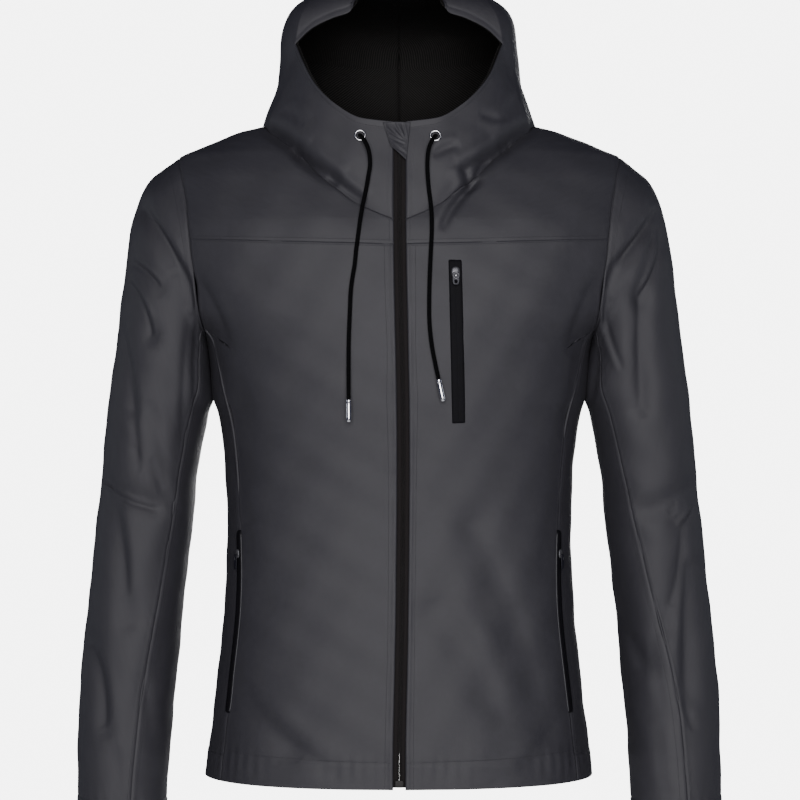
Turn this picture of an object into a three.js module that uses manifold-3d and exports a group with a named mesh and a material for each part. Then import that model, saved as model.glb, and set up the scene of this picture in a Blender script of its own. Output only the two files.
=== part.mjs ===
// A men's hooded softshell jacket, filled out as if worn, with nobody in it.
// Millimetres, +Z up. The front faces -Y and the wearer's left is +X.
// The origin is the middle of the neck, at the height where neck and shoulder meet.
//
// Every panel is a wall of cloth. The body panels share one surface, given by the body's
// sections at each height, and each panel is the part of it between its own seams.
// Sleeves are lofted through rings, and the hood is lofted from the neckline to its rim.

import * as THREE from 'three';
import { mergeVertices } from 'three/addons/utils/BufferGeometryUtils.js';
import Module from 'manifold-3d';

const wasm = await Module();
wasm.setup();

// Cloth and seams
const CLOTH = 1.5;
const MESH_CLOTH = 1;
const SEAM_INSET = 0.17;
const SURFACE_GAP = 0.45;
const SOLID_GAP = 0.3;
const LEFT = 1;
const RIGHT = -1;

// Heights of the body's main lines
const HEM = -670;
const YOKE_AT_ZIP = -129;
const SHOULDER_TIP = -33;
const SHOULDER_SLOPE_POWER = 1.2;
const NECK_FRONT = -104;

// The body's level sections: half width at each height
const BODY_WIDTHS = [
  { z: -680, half: 201 }, { z: -670, half: 200 }, { z: -617, half: 194 }, { z: -575, half: 189 },
  { z: -533, half: 184.6 }, { z: -491, half: 181 }, { z: -450, half: 179 }, { z: -410, half: 178.4 },
  { z: -366, half: 180 }, { z: -325, half: 183.5 }, { z: -281, half: 191 }, { z: -226, half: 198 },
  { z: -190, half: 226 }, { z: -150, half: 240 }, { z: -100, half: 246 }, { z: -60, half: 243 },
  { z: -33, half: 228 }, { z: -24, half: 208 }, { z: -13.5, half: 182.5 }, { z: -8, half: 168 },
  { z: -3, half: 149 }, { z: 0, half: 139 }, { z: 6, half: 120 },
];
// and its depth to the front and to the back of the shoulder line
const BODY_DEPTHS = [
  { z: -680, front: 122, back: 125 }, { z: -410, front: 112, back: 105 },
  { z: -220, front: 128, back: 132 }, { z: -120, front: 118, back: 130 },
  { z: -60, front: 97, back: 112 }, { z: -30, front: 80, back: 98 },
  { z: 0, front: 62, back: 80 }, { z: 6, front: 59, back: 77 },
];
const BODY_SQUARENESS = 2.35;

// Armhole: an upright loop, with its distance from the middle at each height
const ARMHOLE = { middle: -129.5, half: 96.5, yoke: 85, sideFront: 150, sideBack: 210 };
const ARMHOLE_REACH = [
  { z: -226, x: 198 }, { z: -215, x: 201 }, { z: -190, x: 205 }, { z: -150, x: 209 },
  { z: -100, x: 214 }, { z: -60, x: 221 }, { z: -33, x: 228 },
];

// Side-front seam, as an angle round the body; the side-back seam mirrors it
const SIDE_SEAM = [
  { z: -670, angle: 62.8 }, { z: -602, angle: 63 }, { z: -499, angle: 61.5 },
  { z: -372, angle: 64.5 }, { z: -307, angle: 65 }, { z: -268, angle: 68.5 },
  { z: -240, angle: 71.5 }, { z: -213.07, angle: 74.2 },
];

// The zip's middle wanders a little, and each front stops short of it
const ZIP_MIDDLE = [
  { z: -670, x: 0.3 }, { z: -655, x: 0.3 }, { z: -500, x: 3 }, { z: -335, x: 4.3 },
  { z: -85, x: 0.6 }, { z: 0, x: 0.6 },
];
const ZIP_HALF_GAP = 6;

// Front of the neckline, from the zip to the neck's side
const NECKLINE = [
  { column: 0, angle: 1.4, z: -104 }, { column: 1, angle: 7.1, z: -88 },
  { column: 2, angle: 13.6, z: -65 }, { column: 3, angle: 22.8, z: -34 },
  { column: 4, angle: 39.6, z: -14 }, { column: 5, angle: 62, z: -3.8 },
  { column: 6, angle: 90, z: 0 },
];
const NECK_SIDE = 6;
const HOOD_BACK = 13;
const HOOD_CORNER = 5;

// Steps along the seams, the same for the two pieces that meet there
const STEPS = {
  front: 7, shoulder: 7, yokeArmhole: 7, frontArmhole: 5, underarm: 5, backArmhole: 8,
  sideSeam: 12, hoodRows: 6, crownRows: 5,
};

// Sleeve rings from the armhole to the cuff: outer and inner point, half depth, middle
const SLEEVE = [
  { ring: 0, outX: 228, outZ: -33, inX: 198.4, inZ: -226, depth: 71.7, y: 3 },
  { ring: 1, outX: 244, outZ: -45, inX: 198.4, inZ: -229, depth: 71.5, y: 3 },
  { ring: 2, outX: 257, outZ: -55, inX: 198.2, inZ: -233, depth: 71, y: 3 },
  { ring: 3, outX: 266, outZ: -69, inX: 197.8, inZ: -238, depth: 70, y: 3 },
  { ring: 4, outX: 274, outZ: -88, inX: 197.3, inZ: -244, depth: 69, y: 3 },
  { ring: 5, outX: 280, outZ: -114, inX: 196.6, inZ: -252, depth: 68, y: 3 },
  { ring: 6, outX: 285, outZ: -150, inX: 195.8, inZ: -264, depth: 67, y: 3 },
  { ring: 7, outX: 290, outZ: -190, inX: 195.2, inZ: -280, depth: 66, y: 4 },
  { ring: 8, outX: 295, outZ: -230, inX: 198.8, inZ: -300, depth: 64.5, y: 5 },
  { ring: 9, outX: 302, outZ: -280, inX: 204.5, inZ: -328, depth: 63, y: 6 },
  { ring: 10, outX: 307, outZ: -330, inX: 210.5, inZ: -366, depth: 61.5, y: 7 },
  { ring: 11, outX: 312.5, outZ: -388, inX: 215, inZ: -412, depth: 60, y: 8 },
  { ring: 12, outX: 318, outZ: -440, inX: 220.5, inZ: -460, depth: 58.5, y: 6 },
  { ring: 13, outX: 322.5, outZ: -492, inX: 225.5, inZ: -508, depth: 56.5, y: 2 },
  { ring: 14, outX: 328, outZ: -545, inX: 229.5, inZ: -557, depth: 54, y: -4 },
  { ring: 15, outX: 331, outZ: -596, inX: 233.5, inZ: -606, depth: 51.5, y: -11 },
  { ring: 16, outX: 331.5, outZ: -645, inX: 237, inZ: -653, depth: 49, y: -18 },
  { ring: 17, outX: 331, outZ: -690, inX: 239, inZ: -695, depth: 46.5, y: -25 },
  { ring: 18, outX: 330.5, outZ: -716, inX: 240.5, inZ: -719, depth: 45, y: -28 },
];
const CUFF_RING = 18;
const FITTED_RINGS = 4;
const FINE_FROM_RING = 8;

// The sleeve's two seams, as angles round each ring (0 outside, 90 front, 180 inside)
const SLEEVE_SEAMS = {
  [RIGHT]: [
    { ring: 0, front: 150, back: 210 }, { ring: 9, front: 136, back: 214 },
    { ring: 12, front: 127, back: 217 }, { ring: 15, front: 112, back: 221 },
    { ring: 18, front: 104, back: 225 },
  ],
  [LEFT]: [
    { ring: 0, front: 150, back: 210 }, { ring: 9, front: 132, back: 214 },
    { ring: 12, front: 112, back: 217 }, { ring: 15, front: 87, back: 221 },
    { ring: 18, front: 79, back: 225 },
  ],
};

// Largest folds, seen from the front: from one end to the other, x away from the middle
const SLEEVE_FOLDS = {
  [RIGHT]: [
    { x1: 262, z1: -88, x2: 209, z2: -170, deep: 6, wide: 11 },
    { x1: 275, z1: -143, x2: 243, z2: -169, deep: 4, wide: 11 },
    { x1: 280, z1: -170, x2: 253, z2: -218, deep: 4.5, wide: 11 },
    { x1: 286, z1: -208, x2: 274, z2: -290, deep: 4, wide: 12 },
    { x1: 302, z1: -376, x2: 249, z2: -393, deep: 5, wide: 13 },
    { x1: 298, z1: -390, x2: 275, z2: -508, deep: 4, wide: 13 },
    { x1: 316, z1: -530, x2: 300, z2: -617, deep: 4, wide: 12 },
  ],
  [LEFT]: [
    { x1: 262, z1: -97, x2: 206, z2: -166, deep: 6, wide: 11 },
    { x1: 266, z1: -114, x2: 246, z2: -180, deep: 4.5, wide: 11 },
    { x1: 246, z1: -180, x2: 245, z2: -290, deep: 4, wide: 12 },
    { x1: 302, z1: -376, x2: 255, z2: -396, deep: 4.5, wide: 13 },
    { x1: 286, z1: -411, x2: 276, z2: -512, deep: 4, wide: 13 },
    { x1: 302, z1: -455, x2: 297, z2: -585, deep: 4, wide: 12 },
    { x1: 222, z1: -484, x2: 248, z2: -554, deep: 3.5, wide: 12 },
  ],
};
const BODY_FOLDS = {
  [RIGHT]: [
    { x1: 203, z1: -175, x2: 168, z2: -290, deep: 6, wide: 22 },
    { x1: 168, z1: -290, x2: 158, z2: -360, deep: 4, wide: 20 },
    { x1: 158, z1: -590, x2: 112, z2: -630, deep: 3, wide: 20 },
  ],
  [LEFT]: [
    { x1: 198, z1: -180, x2: 176, z2: -290, deep: 5, wide: 22 },
    { x1: 74, z1: -410, x2: 150, z2: -610, deep: 3.5, wide: 22 },
    { x1: 38, z1: -495, x2: 100, z2: -600, deep: 3, wide: 20 },
  ],
};
const BACK_FOLD_SHARE = 0.7;
const BACK_LEAN = 6;

// Half steps over which a surface's differences give its normal
const BODY_STEP = [0.6, 0.6];
const RING_STEP = [0.5, 0.05];
const HOOD_STEP = [0.05, 0.02];

// Hood: the rim's lower half (zip to corner) and upper half (top to corner)
const RIM_LOWER = [
  { column: 0, x: 6, y: -100, z: -6 }, { column: 1, x: 37, y: -99, z: -2.2 },
  { column: 2, x: 62, y: -92, z: 11.6 }, { column: 3, x: 86, y: -77, z: 36.6 },
  { column: 4, x: 97.3, y: -63, z: 57.7 }, { column: 5, x: 105.7, y: -44, z: 80 },
];
const RIM_UPPER = [
  { column: 0, x: 0, y: -38, z: 137 }, { column: 1, x: 44, y: -42, z: 130 },
  { column: 2, x: 50, y: -45, z: 113 }, { column: 3, x: 67.4, y: -46, z: 106.3 },
  { column: 4, x: 90, y: -45, z: 95 }, { column: 5, x: 105.7, y: -44, z: 80 },
];
// its crown is a squared dome above the level of the rim's corner
const CROWN = {
  y: 38, z: 80, half: 121.5, front: 95, back: 144, height: 67,
  squareFront: 3.2, squareBack: 2.4, squareUp: 3.2,
};
// and below that, each column leaves the neckline and arrives above with these tangents
const HOOD_RISE = [
  { column: 0, x1: 0, y1: -3, z1: 30, x2: 0, y2: 5, z2: 30 },
  { column: 3, x1: 3, y1: -10, z1: 18, x2: 2, y2: 3, z2: 22 },
  { column: 5, x1: -4, y1: -6, z1: 24, x2: -3, y2: -2, z2: 26 },
  { column: 6, x1: -9, y1: -2, z1: 22, x2: -4, y2: -2, z2: 28 },
  { column: 8, x1: -4, y1: 14, z1: 14, x2: 0, y2: 4, z2: 30 },
  { column: 10, x1: 6, y1: 34, z1: -8, x2: 1, y2: 6, z2: 42 },
  { column: 13, x1: 0, y1: 52, z1: -30, x2: 0, y2: 6, z2: 58 },
];
const LINING = { behind: 3.4, edge: 3, firstColumn: 1 };
// about how far apart the hood's front columns are, and how high its side is
const HOOD_CELL = { column: 1, wide: 31, t: 0.8, high: 90 };

// Zip: tapes behind the fronts, coil between them, box at the hem, flap at the chin
const ZIP = {
  tapeWide: 11, tapeThick: 0.9, tapeGap: 0.2, coilHalf: 2.3, coilThick: 1.1,
  behind: 1.5, bottom: -668, top: -9, endGap: 0.5,
};
const ZIP_BOX = { half: 4.6, low: -667.8, high: -660.5, thick: 3 };
const ZIP_SLIDER = { half: 4.2, low: -27, high: -13, thick: 2.6 };
const GARAGE = {
  topLeft: { x: -15.9, z: -7.4 }, topRight: { x: 11.5, z: -7.4 },
  lowLeft: { x: -8, z: -32 }, lowRight: { x: 7.5, z: -45.5 },
  thick: 1.2, off: 1, bulge: 2.2, columns: 6, rows: 4,
};

// Pocket zips: middle of the strip in from its ends, half width and height over the cloth
const CHEST_ZIP = {
  top: -144, bottom: -308, topX: 55.5, bottomX: 59.3, half: 6.6, thick: 1.4, rows: 8,
};
const HAND_ZIP = { top: -416, bottom: -602, half: 3.5, thick: 1.2, rows: 12 };
const SLIDERS = {
  chest: { z: -158, half: 4.2, long: 11, thick: 2.4, round: 3.4 },
  hand: { z: -440, half: 3, long: 9, thick: 2.2, round: 2.4 },
};
const TABS = {
  chest: { half: 3.6, long: 13, thick: 1.4, round: 2.5 },
  hand: { half: 2.4, long: 16, thick: 1.3, round: 1.7 },
};
const TAB_CLEAR = 0.5;

// Drawcord and its fittings
const EYELETS = [{ side: LEFT, x: 36.3, z: -20.6 }, { side: RIGHT, x: 38.6, z: -20.1 }];
const EYELET = { hole: 3.9, outer: 6, high: 1.5, shoulder: 0.75, lip: 1.05, sides: 16 };
const CORD = { radius: 2.1, sides: 8, step: 10.5 };
const CORD_TIP = { radius: 2.7, neck: 2.4, long: 23, bevel: 1.5, sides: 12 };
const CORD_ROUTES = {
  [RIGHT]: [
    [-39.3, -100.4, -19.5], [-38.6, -104.8, -20.2], [-37, -109, -22.3], [-34.1, -111.9, -26.4],
    [-31, -113.1, -33], [-29, -113.4, -42], [-28.8, -113.7, -52], [-30.4, -114.3, -62],
    [-32.8, -114.8, -76], [-35.7, -115, -89], [-38.5, -117.4, -106], [-40.7, -120.4, -123], [-42.5, -122.6, -137],
    [-43.8, -124.6, -150.5], [-45.9, -126.4, -163], [-47.3, -127.4, -174], [-48.3, -128.6, -194],
    [-49.5, -129.3, -225.5], [-49.7, -129.5, -257], [-49.6, -129.4, -283],
  ],
  [LEFT]: [
    [37, -100.6, -20], [36.3, -105, -20.6], [34.9, -109.2, -22.8], [32.4, -112, -27],
    [30, -113.1, -33.4], [28.6, -113.5, -42], [28.2, -113.8, -52], [28.8, -114.3, -64],
    [29.7, -114.8, -74.7], [31.2, -115.4, -86], [32.3, -116.8, -98], [32.6, -118.9, -110],
    [32.3, -121.1, -123.5], [31.5, -123.4, -138], [30.8, -125.4, -152.8], [30.2, -127.3, -168],
    [29.9, -128.8, -184], [30.1, -130, -207], [32.1, -130.3, -227.6], [36.3, -130.1, -250.3],
    [39, -129.9, -263],
  ],
};

/** Smooth curve through a table's rows without overshoot: column `to` at `from`. */
function curve(rows, from, to) {
  const x = rows.map((row) => row[from]);
  const y = rows.map((row) => row[to]);
  const last = x.length - 1;
  const rise = x.slice(1).map((value, i) => (y[i + 1] - y[i]) / (value - x[i]));
  const slope = y.map((_, i) => {
    if (i === 0) return rise[0];
    if (i === last) return rise[last - 1];
    const product = rise[i - 1] * rise[i];
    return product <= 0 ? 0 : (2 * product) / (rise[i - 1] + rise[i]);
  });
  return (at) => {
    if (at <= x[0]) return y[0] + slope[0] * (at - x[0]);
    if (at >= x[last]) return y[last] + slope[last] * (at - x[last]);
    let i = 0;
    while (at > x[i + 1]) i += 1;
    const span = x[i + 1] - x[i];
    const t = (at - x[i]) / span;
    const s = 1 - t;
    return s * s * (1 + 2 * t) * y[i] + t * t * (1 + 2 * s) * y[i + 1]
      + span * s * t * (s * slope[i] - t * slope[i + 1]);
  };
}

const radians = (degrees) => (degrees * Math.PI) / 180;
const power = (value, exponent) => Math.sign(value) * Math.abs(value) ** exponent;
const mix = (a, b, t) => a + (b - a) * t;
/** Evenly spaced values from a to b, both ends included. */
const steps = (a, b, count) => Array.from({ length: count + 1 }, (_, i) => mix(a, b, i / count));

/** Depth of the folds at a point seen from the front: a soft trough along each fold. */
function foldDepth(folds, x, z) {
  let depth = 0;
  for (const { x1, z1, x2, z2, deep, wide } of folds) {
    const long = (x2 - x1) ** 2 + (z2 - z1) ** 2;
    const along = THREE.MathUtils.clamp(((x - x1) * (x2 - x1) + (z - z1) * (z2 - z1)) / long, 0, 1);
    const away = Math.hypot(x - mix(x1, x2, along), z - mix(z1, z2, along));
    depth += deep * Math.exp(-((away / wide) ** 2));
  }
  return depth;
}

/** Outward normal of a surface with two parameters, from its own differences. */
function normalOf(surface, u, v, [du, dv]) {
  const across = surface(u + du, v).sub(surface(u - du, v));
  const along = surface(u, v + dv).sub(surface(u, v - dv));
  return across.cross(along).normalize();
}

// The body's surface

const bodyHalf = curve(BODY_WIDTHS, 'z', 'half');
const bodyFront = curve(BODY_DEPTHS, 'z', 'front');
const bodyBack = curve(BODY_DEPTHS, 'z', 'back');
const zipMiddle = curve(ZIP_MIDDLE, 'z', 'x');
const sideSeam = curve(SIDE_SEAM, 'z', 'angle');
const armholeReach = curve(ARMHOLE_REACH, 'z', 'x');

/** Point of the smooth body at an angle (0 front, 90 side, 180 back) and a height. */
function bareBody(angle, z) {
  const sin = Math.sin(radians(angle));
  const cos = Math.cos(radians(angle));
  const exponent = 2 / BODY_SQUARENESS;
  const depth = cos > 0 ? bodyFront(z) : bodyBack(z);
  return new THREE.Vector3(bodyHalf(z) * power(sin, exponent), -depth * power(cos, exponent), z);
}

/** The same with its folds; x is measured outwards on the given side. */
function body(side) {
  return (angle, z) => {
    const point = bareBody(angle, z);
    const reach = Math.abs(power(Math.cos(radians(angle)), 2 / BODY_SQUARENESS));
    const share = Math.cos(radians(angle)) > 0 ? 1 : BACK_FOLD_SHARE;
    const folds = BODY_FOLDS[point.x < 0 ? -side : side];
    const deep = reach * share * foldDepth(folds, Math.abs(point.x), z);
    return point.addScaledVector(normalOf(bareBody, angle, z, BODY_STEP), -deep);
  };
}

/** Angle round the body at which it is x away from the middle. */
function angleAt(x, z) {
  const ratio = Math.min(1, Math.abs(x) / bodyHalf(z));
  return THREE.MathUtils.radToDeg(Math.asin(ratio ** (BODY_SQUARENESS / 2)));
}

const zipEdge = (side, z) => angleAt(ZIP_HALF_GAP + side * zipMiddle(z), z);

/** Armhole at an angle round its loop: 0 shoulder, 90 front, 180 underarm, 270 back. */
function armhole(turn) {
  const z = ARMHOLE.middle + ARMHOLE.half * Math.cos(radians(turn));
  const angle = angleAt(armholeReach(z), z);
  return [turn > 180 ? 180 - angle : angle, z];
}

// Walls of cloth

/**
 * Closed wall from an outer surface: border points move in by `inset` to leave the seam's
 * gap, and the inner face lies `thickness` behind the outer one along the normals.
 */
function wall(points, normals, faces, thickness, inset = () => SEAM_INSET) {
  const facing = faces.reduce((sum, [a, b, c]) => {
    const flat = points[b].clone().sub(points[a]).cross(points[c].clone().sub(points[a]));
    return sum + flat.dot(normals[a]);
  }, 0);
  const turned = facing < 0 ? faces.map((face) => [...face].reverse()) : faces;
  const used = new Map();
  for (const face of turned) {
    face.forEach((a, i) => {
      const b = face[(i + 1) % face.length];
      used.set(`${a},${b}`, [a, b]);
    });
  }
  const border = [...used.values()].filter(([a, b]) => !used.has(`${b},${a}`));
  const inward = new Map();
  for (const [a, b] of border) {
    for (const at of [a, b]) {
      const direction = normals[at].clone().cross(points[b].clone().sub(points[a])).normalize();
      inward.set(at, [...(inward.get(at) ?? []), direction]);
    }
  }
  const outer = points.map((point, i) => {
    const pull = inward.get(i);
    if (!pull) return point.clone();
    const spread = Math.max(0.5, 1 + pull[0].dot(pull[1]));
    const amount = inset(point) / spread;
    return point.clone().addScaledVector(pull[0], amount).addScaledVector(pull[1], amount);
  });
  const inner = outer.map((point, i) => point.clone().addScaledVector(normals[i], -thickness));
  const count = points.length;
  const triangles = [];
  const fan = (face) => {
    for (let i = 1; i < face.length - 1; i += 1) triangles.push(face[0], face[i], face[i + 1]);
  };
  for (const face of turned) {
    fan(face);
    fan([face[0], ...face.slice(1).reverse()].map((i) => i + count));
  }
  for (const [a, b] of border) fan([b, a, a + count, b + count]);
  return solid([...outer, ...inner], triangles);
}

/** Geometry from points and corner numbers, turned so that its faces point outwards. */
function solid(points, triangles) {
  let volume = 0;
  for (let i = 0; i < triangles.length; i += 3) {
    const [a, b, c] = [0, 1, 2].map((k) => points[triangles[i + k]]);
    volume += a.dot(b.clone().cross(c));
  }
  const index = volume < 0 ? [...triangles].reverse() : triangles;
  const geometry = new THREE.BufferGeometry().setFromPoints(points);
  geometry.setIndex(index);
  return geometry;
}

/** Corner numbers of a grid's squares, for `across` by `up` squares. */
function squares(across, up) {
  const faces = [];
  for (let j = 0; j < up; j += 1) {
    for (let i = 0; i < across; i += 1) {
      const a = j * (across + 1) + i;
      faces.push([a, a + 1, a + across + 2, a + across + 1]);
    }
  }
  return faces;
}

/**
 * Body panel between four seams, each a list of [angle, height], blended inside. A higher
 * `lean` keeps the top edge's slope near the top.
 */
function panel(side, { hem, top, first, last, lean = 1 }) {
  const across = hem.length - 1;
  const up = first.length - 1;
  const surface = body(side);
  const points = [];
  const normals = [];
  for (let j = 0; j <= up; j += 1) {
    for (let i = 0; i <= across; i += 1) {
      const u = i / across;
      const v = (j / up) ** lean;
      const [angle, z] = [0, 1].map((k) => mix(hem[i][k], top[i][k], v)
        + mix(first[j][k], last[j][k], u)
        - mix(mix(hem[0][k], hem[across][k], u), mix(top[0][k], top[across][k], u), v));
      points.push(surface(angle, z));
      normals.push(normalOf(surface, angle, z, BODY_STEP));
    }
  }
  return mirrored(wall(points, normals, squares(across, up), CLOTH), side);
}

/** The right-hand copy of a left-hand geometry, or the geometry itself. */
function mirrored(geometry, side) {
  if (side === LEFT) return geometry;
  geometry.scale(-1, 1, 1);
  geometry.setIndex([...geometry.index.array].reverse());
  return geometry;
}

const shoulderSeam = steps(0, 1, STEPS.shoulder)
  .map((t) => [90, SHOULDER_TIP * t ** SHOULDER_SLOPE_POWER]);
const sideFrontSeam = steps(HEM, SIDE_SEAM[SIDE_SEAM.length - 1].z, STEPS.sideSeam)
  .map((z) => [sideSeam(z), z]);
const sideBackSeam = sideFrontSeam.map(([angle, z]) => [180 - angle, z]);
const yokeCorner = armhole(ARMHOLE.yoke);
const armholeOf = {
  yoke: steps(0, ARMHOLE.yoke, STEPS.yokeArmhole),
  front: steps(ARMHOLE.yoke, ARMHOLE.sideFront, STEPS.frontArmhole),
  under: steps(ARMHOLE.sideFront, ARMHOLE.sideBack, STEPS.underarm),
  back: steps(ARMHOLE.sideBack, 360, STEPS.backArmhole),
};
// the two seams' ends are the armhole's own points
sideFrontSeam[STEPS.sideSeam] = armhole(ARMHOLE.sideFront);
sideBackSeam[STEPS.sideSeam] = armhole(ARMHOLE.sideBack);

const neckAngle = curve(NECKLINE, 'column', 'angle');
const neckHeight = curve(NECKLINE, 'column', 'z');

/** Neckline at a column: 0 at the zip, 6 at the neck's side, 13 at the middle of the back. */
function neckline(side, column) {
  if (column >= NECK_SIDE) {
    return [mix(90, 180, (column - NECK_SIDE) / (HOOD_BACK - NECK_SIDE)), 0];
  }
  const z = neckHeight(column);
  const start = zipEdge(side, NECK_FRONT) - NECKLINE[0].angle;
  return [neckAngle(column) + start * Math.max(0, 1 - column), z];
}

function yokeSeam(side) {
  return steps(0, 1, STEPS.front).map((t) => [
    mix(zipEdge(side, YOKE_AT_ZIP), yokeCorner[0], t), mix(YOKE_AT_ZIP, yokeCorner[1], t)]);
}

function yoke(side) {
  const frontOfNeck = steps(0, NECK_SIDE, NECK_SIDE).map((column) => neckline(side, column));
  return panel(side, {
    hem: yokeSeam(side),
    top: shoulderSeam,
    first: [yokeSeam(side)[0], ...frontOfNeck],
    last: armholeOf.yoke.map(armhole).reverse(),
  });
}

const frontEdge = steps(HEM, YOKE_AT_ZIP, STEPS.sideSeam + STEPS.frontArmhole);

function front(side) {
  return panel(side, {
    hem: steps(zipEdge(side, HEM), sideFrontSeam[0][0], STEPS.front).map((angle) => [angle, HEM]),
    top: yokeSeam(side),
    first: frontEdge.map((z) => [zipEdge(side, z), z]),
    last: [...sideFrontSeam, ...armholeOf.front.slice(0, -1).reverse().map(armhole)],
  });
}

function sidePanel(side) {
  return panel(side, {
    hem: steps(sideFrontSeam[0][0], sideBackSeam[0][0], STEPS.underarm).map((angle) => [angle, HEM]),
    top: armholeOf.under.map(armhole),
    first: sideFrontSeam,
    last: sideBackSeam,
  });
}

function back() {
  const otherSide = ([angle, z]) => [360 - angle, z];
  const backArmhole = armholeOf.back.map(armhole);
  const leftEdge = [...sideBackSeam, ...backArmhole.slice(1)];
  const leftTop = [...[...shoulderSeam].reverse(),
    ...steps(NECK_SIDE, HOOD_BACK, HOOD_BACK - NECK_SIDE).slice(1)
      .map((column) => neckline(LEFT, column))];
  const top = [...leftTop, ...[...leftTop].reverse().slice(1).map(otherSide)];
  return panel(LEFT, {
    hem: steps(sideBackSeam[0][0], 360 - sideBackSeam[0][0], top.length - 1)
      .map((angle) => [angle, HEM]),
    top,
    first: leftEdge,
    last: leftEdge.map(otherSide),
    lean: BACK_LEAN,
  });
}

// Sleeves

const sleeveCurves = Object.fromEntries(
  ['outX', 'outZ', 'inX', 'inZ', 'depth', 'y'].map((name) => [name, curve(SLEEVE, 'ring', name)]));

/** Point of the sleeve's plain ring: an ellipse between its outer and its inner point. */
function sleeveRing(ring, turn) {
  const { outX, outZ, inX, inZ, depth, y } = sleeveCurves;
  const cos = Math.cos(radians(turn));
  return new THREE.Vector3(
    mix(inX(ring), outX(ring), (1 + cos) / 2),
    y(ring) - depth(ring) * Math.sin(radians(turn)),
    mix(inZ(ring), outZ(ring), (1 + cos) / 2));
}

/** The same with its folds, its first rings drawn to the armhole's own loop. */
function sleeve(side) {
  return (turn, ring) => {
    const point = sleeveRing(ring, turn);
    const fitted = Math.max(0, 1 - ring / FITTED_RINGS) ** 1.5;
    if (fitted > 0) {
      const around = ((turn % 360) + 360) % 360;
      const seat = bareBody(...armhole(around)).setX(armholeReach(armhole(around)[1]) + SURFACE_GAP);
      point.addScaledVector(seat.sub(sleeveRing(0, turn)), fitted);
    }
    const sin = Math.sin(radians(turn));
    const share = (sin > 0 ? 1 : BACK_FOLD_SHARE) * Math.abs(sin) * Math.min(1, ring / 2);
    const deep = share * foldDepth(SLEEVE_FOLDS[side], point.x, point.z);
    const plain = (t, r) => sleeveRing(r, t);
    return point.addScaledVector(normalOf(plain, turn, ring, RING_STEP), -deep);
  };
}

/** One piece of a sleeve between its two seams, with its steps round the armhole. */
function sleevePiece(side, turns, isUnder) {
  const surface = sleeve(side);
  const seamFront = curve(SLEEVE_SEAMS[side], 'ring', 'front');
  const seamBack = curve(SLEEVE_SEAMS[side], 'ring', 'back');
  const rings = [...steps(0, FINE_FROM_RING, FINE_FROM_RING),
    ...steps(FINE_FROM_RING, CUFF_RING, 2 * (CUFF_RING - FINE_FROM_RING)).slice(1)];
  const points = [];
  const normals = [];
  for (const ring of rings) {
    const from = isUnder ? seamFront(ring) : seamBack(ring) - 360;
    const to = isUnder ? seamBack(ring) : seamFront(ring);
    for (const turn of turns) {
      const share = (turn - turns[0]) / (turns[turns.length - 1] - turns[0]);
      const at = mix(from, to, share);
      points.push(surface(at, ring));
      if (ring > 0) {
        normals.push(normalOf(surface, at, ring, RING_STEP));
      } else {
        const middle = new THREE.Vector3(points[points.length - 1].x, SLEEVE[0].y, ARMHOLE.middle);
        normals.push(points[points.length - 1].clone().sub(middle).normalize());
      }
    }
  }
  return mirrored(wall(points, normals, squares(turns.length - 1, rings.length - 1), CLOTH), side);
}

const overTurns = [...armholeOf.back.map((turn) => turn - 360), ...armholeOf.yoke.slice(1),
  ...armholeOf.front.slice(1)];

// Hood

const rimLower = ['x', 'y', 'z'].map((axis) => curve(RIM_LOWER, 'column', axis));
const rimUpper = ['x', 'y', 'z'].map((axis) => curve(RIM_UPPER, 'column', axis));
const rise = Object.fromEntries(
  ['x1', 'y1', 'z1', 'x2', 'y2', 'z2'].map((name) => [name, curve(HOOD_RISE, 'column', name)]));
const vectorAt = (curves, at) => new THREE.Vector3(...curves.map((axis) => axis(at)));

/** Crown's dome at an angle from the front and a tilt up from its base. */
function dome(angle, tilt) {
  const sin = Math.sin(radians(angle));
  const cos = Math.cos(radians(angle));
  const square = 2 / (cos > 0 ? CROWN.squareFront : CROWN.squareBack);
  const shrink = power(Math.max(0, Math.cos(radians(tilt))), 2 / CROWN.squareUp);
  const depth = cos > 0 ? CROWN.front : CROWN.back;
  return new THREE.Vector3(
    CROWN.half * shrink * power(sin, square),
    CROWN.y - depth * shrink * power(cos, square),
    CROWN.z + CROWN.height * power(Math.sin(radians(tilt)), 2 / CROWN.squareUp));
}

/** Angle and tilt of the dome's point nearest to a point of the rim. */
function domeAngles(point) {
  const lift = Math.max(0, (point.z - CROWN.z) / CROWN.height);
  const tilt = Math.asin(lift ** (CROWN.squareUp / 2));
  const ratio = (point.x / CROWN.half) / ((CROWN.y - point.y) / CROWN.front);
  return [THREE.MathUtils.radToDeg(Math.atan(ratio ** (CROWN.squareFront / 2))),
    THREE.MathUtils.radToDeg(tilt)];
}

const cornerPoint = vectorAt(rimLower, HOOD_CORNER);
const cornerAngle = domeAngles(cornerPoint)[0];
const cornerPull = cornerPoint.clone().sub(dome(cornerAngle, 0));

/** Where a column of the crown starts, as angle, tilt and pull away from the dome. */
function crownStart(column) {
  if (column < HOOD_CORNER) {
    const rim = vectorAt(rimUpper, column);
    const [angle, tilt] = domeAngles(rim);
    return { angle, tilt, pull: rim.sub(dome(angle, tilt)) };
  }
  const share = (column - HOOD_CORNER) / (HOOD_BACK - HOOD_CORNER);
  return { angle: mix(cornerAngle, 180, share), tilt: 0,
    pull: cornerPull.clone().multiplyScalar((1 - share) ** 3) };
}

/** Crown: from the rim's upper half, or the ring behind its corner, up to the top. */
function crown(column, t) {
  const { angle, tilt, pull } = crownStart(column);
  return dome(angle, mix(tilt, 90, t)).addScaledVector(pull, (1 - t) ** 3);
}

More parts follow.
